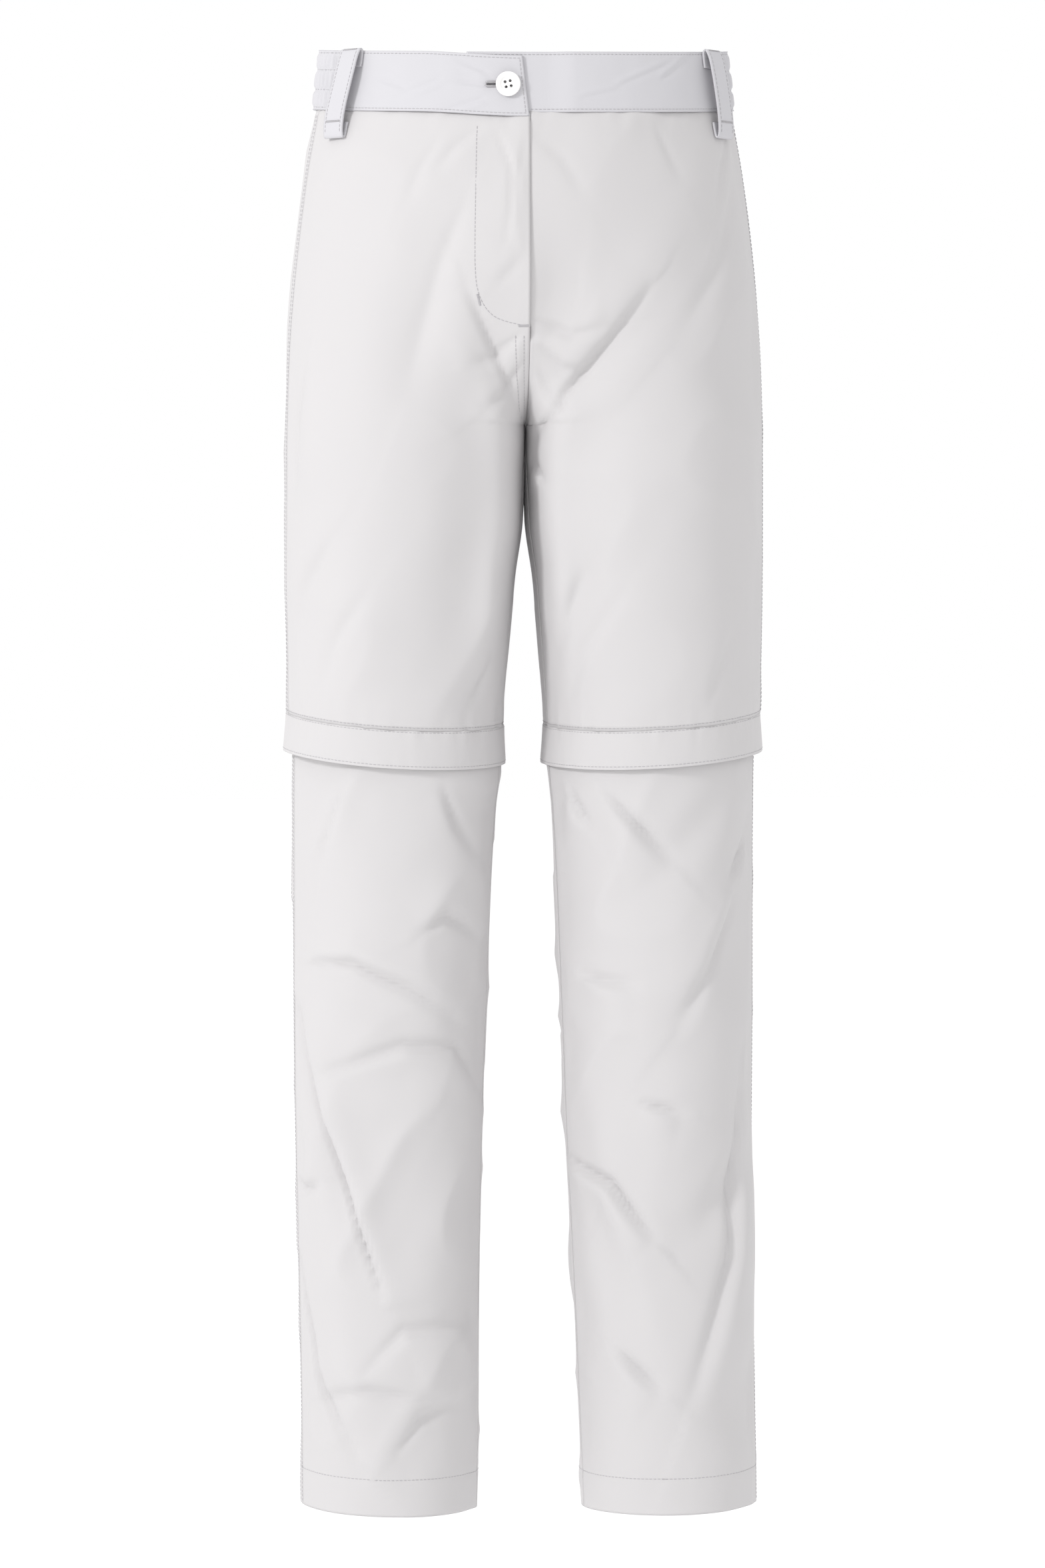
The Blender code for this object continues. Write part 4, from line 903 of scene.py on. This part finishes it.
def carved(obj, verts, faces):
    """The object with a closed shape cut out of it, as a new object of the same name."""
    name = obj.name
    tool = bpy.data.objects.new("cutter", bpy.data.meshes.new("cutter"))
    tool.data.from_pydata([tuple(v) for v in verts], [], faces)
    for part in (tool, obj):
        bpy.context.scene.collection.objects.link(part)
    cut = obj.modifiers.new("cut", "BOOLEAN")
    cut.operation, cut.solver, cut.object = "DIFFERENCE", "EXACT", tool
    bpy.context.view_layer.update()
    whole = obj.evaluated_get(bpy.context.evaluated_depsgraph_get())
    mesh = bpy.data.meshes.new_from_object(whole)
    mesh.name = name
    for part in (obj, tool):
        bpy.data.objects.remove(part, do_unlink=True)
    return bpy.data.objects.new(name, mesh)


def prism_faces(base, count):
    """The faces of an upright prism whose lower ring of points starts at base."""
    ends = [[base + k for k in range(count)][::-1], [base + count + k for k in range(count)]]
    return ends + [[base + k, base + (k + 1) % count, base + count + (k + 1) % count, base + count + k]
                   for k in range(count)]


SLOPE_SPAN = 6 * MM
face = Vector((BUTTON_X, right_band_y(BUTTON_X, BUTTON_Z), BUTTON_Z))
slope = (right_band_y(BUTTON_X + SLOPE_SPAN, BUTTON_Z)
         - right_band_y(BUTTON_X - SLOPE_SPAN, BUTTON_Z)) / (2 * SLOPE_SPAN)
out = Vector((slope, -1.0, 0.0)).normalized()
side_way = Vector((0, 0, 1)).cross(out).normalized()
up_way = out.cross(side_way)


def from_seat(x, y, h):
    """A point by its place across, up and out from the button's seat."""
    return face + side_way * x + up_way * y + out * h


# The buttonhole's edge in millimetres from the button's middle: a round eye, then a slit
EYE_RADIUS = 2.1
HOLE = []
for k in range(13):
    a = math.radians(-150 + 300 * k / 12)
    HOLE.append((EYE_RADIUS * math.cos(a), EYE_RADIUS * math.sin(a)))
HOLE += [(-6, 0.75), (-11, 0.72), (-14.6, 0.62), (-15.2, 0.0), (-14.6, -0.62), (-11, -0.72), (-6, -0.75)]

band = cloth("band_front_right_cloth", band_outer, band_inner, BAND_MAT)
sizes = {key: band[key] for key in ("wide", "long", "area")}
hole_verts = [from_seat(x * MM, y * MM, h * MM) for h in (-8, 8) for x, y in HOLE]
band = put(carved(band, hole_verts, prism_faces(0, len(HOLE))), "band_front_right")
for key, size in sizes.items():
    band[key] = size


# Stitching

def prism(threads, name, mat, sides=5):
    """Many short threads as one mesh, each a list of rings: centre, along, out, radius, flatness."""
    verts, faces = [], []
    for rings in threads:
        base = len(verts)
        for centre, way, normal, radius, flat in rings:
            across = np.cross(way, normal)
            for k in range(sides):
                a = 2 * math.pi * k / sides
                verts.append(centre + across * (math.cos(a) * radius)
                             + normal * (math.sin(a) * radius * flat))
        for r in range(len(rings) - 1):
            for k in range(sides):
                m = (k + 1) % sides
                faces.append([base + r * sides + k, base + r * sides + m,
                              base + (r + 1) * sides + m, base + (r + 1) * sides + k])
        faces.append([base + k for k in range(sides)][::-1])
        faces.append([base + (len(rings) - 1) * sides + k for k in range(sides)])
    return mesh_of(name, verts, faces, mat)


def even(points, normals, pitch):
    """Resamples a line at even steps."""
    step = np.linalg.norm(np.diff(points, axis=0), axis=1)
    s = np.concatenate([[0], np.cumsum(step)])
    count = max(2, int(s[-1] / pitch) + 1)
    q = np.linspace(0, s[-1], count)
    p = np.stack([np.interp(q, s, points[:, k]) for k in range(3)], 1)
    n = np.stack([np.interp(q, s, normals[:, k]) for k in range(3)], 1)
    return p, n / np.linalg.norm(n, axis=1, keepdims=True)


STITCHES = []

# Shape of one stitch: place along it, rise and radius as shares of the thread's radius
STITCH_SHAPE = ((0.06, -0.6, 0.55), (0.22, 0.35, 0.95), (0.5, 0.62, 1.0), (0.78, 0.35, 0.95),
                (0.94, -0.6, 0.55))


def sew(points, normals, pitch=2.9 * MM, radius=0.24 * MM):
    """A row of single stitches along a line on a cloth face."""
    p, n = even(np.asarray(points), np.asarray(normals), pitch)
    for a, b, na in zip(p, p[1:], n):
        way = b - a
        length = np.linalg.norm(way)
        if length < 1e-6:
            continue
        way = way / length
        STITCHES.append([(a + way * (f * length) + na * (rise * radius), way, na, radius * size, 0.8)
                         for f, rise, size in STITCH_SHAPE])


def sew_panel(name, runs, zs):
    sew(*PANELS[name].on(np.asarray(runs, float), np.asarray(zs, float)))


def sew_band(at, ts, downs):
    ts, downs = np.asarray(ts, float), np.asarray(downs, float)
    e, d = 0.004, 0.4 * MM
    du = at(np.minimum(ts + e, 1), downs) - at(np.maximum(ts - e, 0), downs)
    dv = at(ts, downs + d) - at(ts, downs - d)
    p = at(ts, downs)
    n = np.cross(du, dv)
    n /= np.linalg.norm(n, axis=1, keepdims=True)
    flat = np.stack([p[:, 0], p[:, 1] * 2.0, 0 * p[:, 0]], 1)
    n *= np.where((n * flat).sum(1) < 0, -1.0, 1.0)[:, None]
    sew(p, n)


many = np.linspace(0.0, 1.0, 160)
for name, (at, _) in BANDS.items():
    downs = [STITCH_INSET, BAND_HEIGHT - STITCH_INSET]
    if name.startswith("band_side"):
        downs += [0.33 * BAND_HEIGHT, 0.66 * BAND_HEIGHT]
    for down in downs:
        sew_band(at, 0.004 + 0.989 * many, np.full(160, down))
sew_band(right_band_at, np.full(30, 0.9885), np.linspace(2.2 * MM, BAND_HEIGHT - 2.2 * MM, 30))

for word, side in (("right", -1), ("left", 1)):
    down = np.linspace(-46 * MM, KNEE_Z + 1 * MM, 240)
    for run in (0.0075, 0.030):
        sew_panel("shorts_back_" + word, np.full(240, run), down)
    low = np.linspace(KNEE_Z - 30 * MM, HEM_Z + 1.5 * MM, 260)
    for run in (0.0075, 0.034):
        sew_panel("leg_back_" + word, np.full(260, run), low)
    around = np.linspace(0.0, 1.0, 120)
    for where in ("front", "back"):
        sew_panel("leg_%s_%s" % (where, word), around, np.full(120, HEM_Z + HEM_TURN_UP))
        sew_panel("shorts_%s_%s" % (where, word), around, np.full(120, KNEE_Z + 2.0 * MM))
centre_z = np.linspace(-206 * MM, -262 * MM, 60)
for run in (0.984, 0.958):
    sew_panel("shorts_front_right", np.full(60, run), centre_z)
back_z = np.linspace(-46 * MM, -258 * MM, 120)
for run in (0.988, 0.966):
    sew_panel("shorts_back_left", np.full(120, run), back_z)


def panel_from_front(name, x, z):
    """The run on a front panel whose face is at the place x across, for each height."""
    grid = np.linspace(0.3, 1.0, 700)
    faces = [PANELS[name].point(grid, np.full(700, height))[:, 0] for height in z]
    return np.array([grid[np.argmin(np.abs(line - place))] for line, place in zip(faces, x)])


def spline(points, count):
    """A smooth line through a few points."""
    pts = np.asarray(points, float)
    ext = np.vstack([2 * pts[0] - pts[1], pts, 2 * pts[-1] - pts[-2]])
    made = []
    for k in range(1, len(ext) - 2):
        a, b, c, d = ext[k - 1:k + 3]
        for t in np.linspace(0, 1, count, endpoint=False):
            made.append(0.5 * (2 * b + (c - a) * t + (2 * a - 5 * b + 4 * c - d) * t**2
                               + (3 * b - 3 * c + d - a) * t**3))
    made.append(pts[-1])
    return np.array(made)


# The fly's topstitching, seen from the front: place across and height, in millimetres
FLY = ((-36.8, -50), (-37.8, -90), (-38.4, -130), (-38.2, -158), (-36.8, -173), (-33.0, -184),
       (-26.0, -192.5), (-17.0, -196.5), (-6.0, -199.0))
line = spline(FLY, 14) * MM
runs = panel_from_front("shorts_front_right", line[:, 0], line[:, 1])
smooth_runs = np.convolve(np.pad(runs, 2, mode="edge"), np.ones(5) / 5, mode="valid")
sew_panel("shorts_front_right", smooth_runs, line[:, 1])


def tack(p0, p1, normal, width=1.5 * MM, spacing=0.34 * MM):
    """A bar tack: close stitches across a short bar."""
    p0, p1, normal = (np.asarray(v, float) for v in (p0, p1, normal))
    way = p1 - p0
    length = np.linalg.norm(way)
    way /= length
    across = np.cross(normal, way)
    for k in range(int(length / spacing)):
        c = p0 + way * (k + 0.5) * spacing
        STITCHES.append([(c + across * (f * width) + normal * (rise * 0.3 * MM), across, normal,
                          0.2 * MM, 0.9)
                         for f, rise in ((-0.5, -0.3), (-0.3, 0.5), (0.3, 0.5), (0.5, -0.3))])


def tack_on_panel(name, a, b):
    runs = panel_from_front(name, [a[0] * MM, b[0] * MM], [a[1] * MM, b[1] * MM])
    p, n = PANELS[name].on(runs, np.array([a[1] * MM, b[1] * MM]), 0.15 * MM)
    tack(p[0], p[1], n[0])


tack_on_panel("shorts_front_right", (-36.6, -178), (-34.4, -186))
tack_on_panel("shorts_front_right", (-8.0, -199.6), (-0.6, -199.6))


# Belt loops

def loop_surface(side, angle, lean):
    """The middle of a belt loop's strip, in rows down it and columns across it."""
    line = spline(LOOP_LINE, 7)
    across_steps = np.linspace(-1, 1, 15)
    grid = []
    for off, drop in line:
        down = max(-drop * MM, -1.5 * MM)
        if angle <= -89.0:
            base = band_point(1, -90.0, down)
            across = np.array([1.0, 0.0, 0.0])
            normal = np.array([0.0, 1.0, 0.0])
        else:
            base = band_point(side, angle, down)
            ahead, behind = band_point(side, angle + 2.0, down), band_point(side, angle - 2.0, down)
            across = ahead - behind
            across[2] = 0.0
            across /= np.linalg.norm(across)
            normal = np.array([across[1], -across[0], 0.0])
            if normal @ np.array([base[0], base[1], 0.0]) < 0:
                normal = -normal
        sag = (0.05 if angle <= -89.0 else 0.25) * MM if off < 2.0 else 0.0
        shift = -lean * MM * float(smooth(0.0, 58.0, -drop)) if angle > -89.0 else 0.0
        row = []
        for w in across_steps:
            roll = 0.35 * MM * max(0.0, abs(w) - 0.72) / 0.28
            p = base + normal * (off * MM - (roll if off > 3.0 else 0.0))
            row.append(p + across * (w * 0.5 * LOOP_WIDTH + shift) - normal * sag * w * w)
        grid.append(row)
    return np.array(grid)


for name, side, angle, lean in LOOPS:
    mid = loop_surface(side, angle, lean)
    du = np.gradient(mid, axis=1)
    dv = np.gradient(mid, axis=0)
    n = np.cross(du, dv)
    n /= np.linalg.norm(n, axis=-1, keepdims=True)
    half = len(mid) // 2
    centre = mid[half, 7]
    outward = np.array([centre[0], centre[1] * 2, 0.0])
    if n[half, 7] @ outward < 0:
        n = -n
    obj = put(cloth(name + "_cloth", mid + n * 0.6 * MM, mid - n * 0.6 * MM, BAND_MAT), name)
    start, end = 21, len(mid) - 30
    for column in (1.6, 12.4):
        lo = int(column)
        f = column - lo
        path = mid[start:end, lo] * (1 - f) + mid[start:end, lo + 1] * f
        norm = n[start:end, lo]
        sew(path + norm * 0.62 * MM, norm)
    for place in (start + 4, end - 8):
        p0 = mid[place, 2] + n[place, 2] * 0.7 * MM
        p1 = mid[place, 12] + n[place, 12] * 0.7 * MM
        tack(p0, p1, n[place, 7], width=1.4 * MM, spacing=0.4 * MM)


# Knee flaps and zips

FLAP_ROWS = (0.075, 0.925)
TOOTH_PITCH = 1.55
TOOTH_HALF = 1.35 * MM
CHAIN_LENGTH = 480.0


def flap_at(side):
    """A knee flap's face: angle round the leg, and share of the way down the flap."""
    def at(angle, f, grow=0.0):
        angle, f = np.broadcast_arrays(np.asarray(angle, float), np.asarray(f, float))
        stand = (4.6 + 1.6 * np.cos(np.radians(angle))) * MM
        foot = lower_point(side, angle, np.full(angle.shape, KNEE_Z - FLAP_HEIGHT), stand)
        head = lower_point(side, angle, np.full(angle.shape, KNEE_Z))
        p = head + (foot - head) * f[..., None]
        z = KNEE_Z + 0.9 * MM - f * (FLAP_HEIGHT + 0.9 * MM)
        p[..., 2] = z + knee_shift(angle)
        lift = puckers(angle, z, KNEE_Z, 8 * MM, 0.60 * MM, 51 + side)
        lift = lift + puckers(angle, z, KNEE_Z - FLAP_HEIGHT, 8 * MM, 0.28 * MM, 61 + side)
        lift = lift - 1.3 * MM * smooth(0.05, 0.0, f) - 0.3 * MM * bell(1 - f, 0.05)
        for row in FLAP_ROWS:
            lift = lift - 0.2 * MM * bell(f - row, 0.03)
        out = np.stack([np.cos(np.radians(angle)) * side, -np.sin(np.radians(angle)), 0 * angle], -1)
        return p + out * (lift + grow)[..., None]
    return at


def sew_ring(at, f):
    a = np.linspace(0, 360, 420)
    p = at(a, np.full(len(a), f))
    n = np.stack([np.cos(np.radians(a)), -np.sin(np.radians(a)), 0 * a], 1)
    n[:, 0] *= np.sign(p[:, 0].mean())
    sew(p, n)


def carry_over(name, mat):
    """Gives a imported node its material."""
    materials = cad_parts[name].data.materials
    materials.clear()
    materials.append(mat)


for word, side in (("right", -1), ("left", 1)):
    at = flap_at(side)
    downs = np.concatenate([[0, 0.02, 0.04], np.linspace(0.06, 0.94, 14), [0.98, 1]])
    a, f = np.meshgrid(np.arange(0, 360, 1.0), downs)
    name = "knee_flap_" + word
    put(cloth(name + "_cloth", at(a, f), at(a, f, -1.5 * MM), CLOTH_MAT, closed=True), name)
    for row in FLAP_ROWS:
        sew_ring(at, row)

    rows = (ZIP_ABOVE, -2 * MM, -5 * MM, -9.5 * MM, -13.5 * MM, -16 * MM, -20 * MM, -ZIP_BELOW)
    zs = KNEE_Z + np.interp(np.linspace(0, 7, 22), np.arange(8), rows)
    a, z = np.meshgrid(np.arange(0, 360, 2.5), zs)
    sag = ZIP_SAG * smooth(KNEE_Z, KNEE_Z - 6 * MM, z) * smooth(KNEE_Z - 18 * MM, KNEE_Z - 14 * MM, z)
    outer = lower_point(side, a, z, -ZIP_INSET - sag)
    inner = lower_point(side, a, z, -ZIP_INSET - sag - 0.8 * MM)
    name = "knee_zip_" + word
    put(cloth(name + "_tape", outer, inner, TAPE_MAT, closed=True), name)

    teeth, chain, upright = [], KNEE_Z - CHAIN_BELOW, np.array([0, 0, 1.0])
    for k in range(int(CHAIN_LENGTH / TOOTH_PITCH)):
        angle = 360.0 * k * TOOTH_PITCH / CHAIN_LENGTH
        up = 1.0 if k % 2 else -1.0
        c = lower_point(side, angle, chain + up * 0.75 * MM, -ZIP_INSET - ZIP_SAG + 0.42 * MM)
        b = lower_point(side, angle + 1.0, chain, 0.0) - lower_point(side, angle - 1.0, chain, 0.0)
        b[2] = 0.0
        b /= np.linalg.norm(b)
        nrm = np.array([b[1], -b[0], 0.0])
        turn = math.radians(angle)
        if nrm @ np.array([math.cos(turn) * side, -math.sin(turn), 0]) < 0:
            nrm = -nrm
        teeth.append([(c + upright * way * TOOTH_HALF, upright, nrm, radius * MM, flat)
                      for way, radius, flat in ((-1, 0.42, 0.8), (0, 0.55, 0.9), (1, 0.42, 0.8))])
    put(prism(teeth, name + "_teeth", TEETH_MAT, sides=6))
    carry_over("knee_slider_" + word, METAL_MAT)

carry_over("fly_zip", THREAD_MAT)
carry_over("fly_slider", METAL_MAT)
carry_over("button_thread", THREAD_MAT)


# The button and the buttonhole's edge

def turned(name, profile, steps, mat):
    """A turned body on the button's seat from a profile of radius and height in millimetres."""
    verts, faces = [], []
    for r, h in profile:
        for k in range(steps):
            a = 2 * math.pi * k / steps
            verts.append(tuple(from_seat(r * MM * math.cos(a), r * MM * math.sin(a), h * MM)))
    for i in range(len(profile) - 1):
        for k in range(steps):
            m = (k + 1) % steps
            faces.append([i * steps + k, i * steps + m, (i + 1) * steps + m, (i + 1) * steps + k])
    faces.append([k for k in range(steps)][::-1])
    faces.append([(len(profile) - 1) * steps + k for k in range(steps)])
    return mesh_of(name, verts, faces, mat)


# The button's section, up from its underside, over the rim and down to its middle: shares of its
# radius and of its thickness
R, T, B = 0.5 * BUTTON_D / MM, BUTTON_T / MM, BUTTON_OFF / MM
HUB = 0.4
BUTTON_SECTION = ((0.62, 0.0), (0.80, 0.12), (0.92, 0.32), (0.985, 0.52), (1.0, 0.66), (0.99, 0.80),
                  (0.955, 0.91), (0.90, 0.975), (0.84, 1.0), (0.78, 0.99), (0.72, 0.96), (0.66, 0.90),
                  (0.61, 0.80), (0.57, 0.71), (0.53, 0.665), (0.46, 0.65), (0.2, 0.64))
shape = [(HUB, B)] + [(r * R, B + h * T) for r, h in BUTTON_SECTION] + [(HUB, B + 0.64 * T)]
button = turned("button_turned", shape, 72, BUTTON_MAT)
HOLE_TURN, HOLE_PLACE, HOLE_SIDES = math.radians(12.0), 1.8, 20
drill_verts, drill_faces = [], []
for sx, sy in ((-1, -1), (1, -1), (1, 1), (-1, 1)):
    x, y = sx * HOLE_PLACE, sy * HOLE_PLACE
    x, y = (x * math.cos(HOLE_TURN) - y * math.sin(HOLE_TURN),
            x * math.sin(HOLE_TURN) + y * math.cos(HOLE_TURN))
    drill_faces += prism_faces(len(drill_verts), HOLE_SIDES)
    for h in (-3, 8):
        for k in range(HOLE_SIDES):
            a = 2 * math.pi * k / HOLE_SIDES
            drill_verts.append(from_seat((x + math.cos(a)) * MM, (y + math.sin(a)) * MM, h * MM))
button = put(carved(button, drill_verts, drill_faces), "button")

# Close stitches round the buttonhole, each from its edge out over the cloth
EDGE_SPACING = 0.36
EDGE_STITCH = ((-0.15, -0.6), (-0.05, 0.15), (0.5, 0.3), (1.3, 0.22), (1.6, -0.1))
o = np.array(out)
outline = []
for i in range(len(HOLE)):
    (x0, y0), (x1, y1) = HOLE[i], HOLE[(i + 1) % len(HOLE)]
    size = math.hypot(x1 - x0, y1 - y0)
    count = max(1, int(size / EDGE_SPACING))
    for k in range(count):
        f = k / count
        outline.append((x0 + (x1 - x0) * f, y0 + (y1 - y0) * f, (y1 - y0) / size, -(x1 - x0) / size))
for x, y, nx, ny in outline:
    way = np.array(side_way) * nx + np.array(up_way) * ny
    rings = []
    for d, h in EDGE_STITCH:
        c = np.array(from_seat((x + nx * d) * MM, (y + ny * d) * MM, h * MM))
        rings.append((c, way, o, 0.2 * MM, 0.9))
    STITCHES.append(rings)

put(prism(STITCHES, "stitching", THREAD_MAT))


# Camera, floor and light

camera = bpy.data.objects.new("camera", bpy.data.cameras.new("camera"))
bpy.context.scene.collection.objects.link(camera)
AZIMUTH, DISTANCE, CAMERA_Z, AIM_Z = -2.5, 4.5, -0.40, -0.5198
PHOTO_HEIGHT, PIXEL, SENSOR = 2352, 0.4734 * MM, 36.0
turn = math.radians(AZIMUTH)
camera.location = (DISTANCE * math.sin(turn), -DISTANCE * math.cos(turn), CAMERA_Z)
aim = Vector((-0.0007, 0.0, AIM_Z))
camera.rotation_euler = (aim - camera.location).to_track_quat("-Z", "Y").to_euler()
camera.data.sensor_width = SENSOR
camera.data.lens = SENSOR * (aim - camera.location).length / (PHOTO_HEIGHT * PIXEL)
camera.data.clip_start, camera.data.clip_end = 0.1, 60.0
bpy.context.scene.camera = camera

floor_mat, _, floor_bsdf = new_material("floor", (0.92, 0.92, 0.92), 0.9)
floor_bsdf.inputs["Emission Color"].default_value = (1.0, 1.0, 1.0, 1.0)
floor_bsdf.inputs["Emission Strength"].default_value = 0.12
FLOOR_HALF, FLOOR_Z = 30, -1.40
corners = [(x * FLOOR_HALF, y * FLOOR_HALF, FLOOR_Z) for x, y in ((-1, -1), (1, -1), (1, 1), (-1, 1))]
floor = mesh_of("floor", corners, [[0, 1, 2, 3]], floor_mat)
bpy.context.scene.collection.objects.link(floor)

world = bpy.data.worlds.new("studio")
world.use_nodes = True
background = world.node_tree.nodes["Background"]
background.inputs["Color"].default_value = (1.0, 1.0, 1.0, 1.0)
background.inputs["Strength"].default_value = 1.0
bpy.context.scene.world = world
bpy.context.scene.view_settings.view_transform = "Standard"


def area_light(name, place, target, size, power):
    data = bpy.data.lights.new(name, "AREA")
    data.shape, data.size, data.size_y, data.energy = "RECTANGLE", size[0], size[1], power
    obj = bpy.data.objects.new(name, data)
    obj.location = place
    obj.rotation_euler = (Vector(target) - Vector(place)).to_track_quat("-Z", "Y").to_euler()
    bpy.context.scene.collection.objects.link(obj)


area_light("key", (-2.8, -2.4, 1.3), (0, 0, -0.5), (0.6, 0.6), 68)
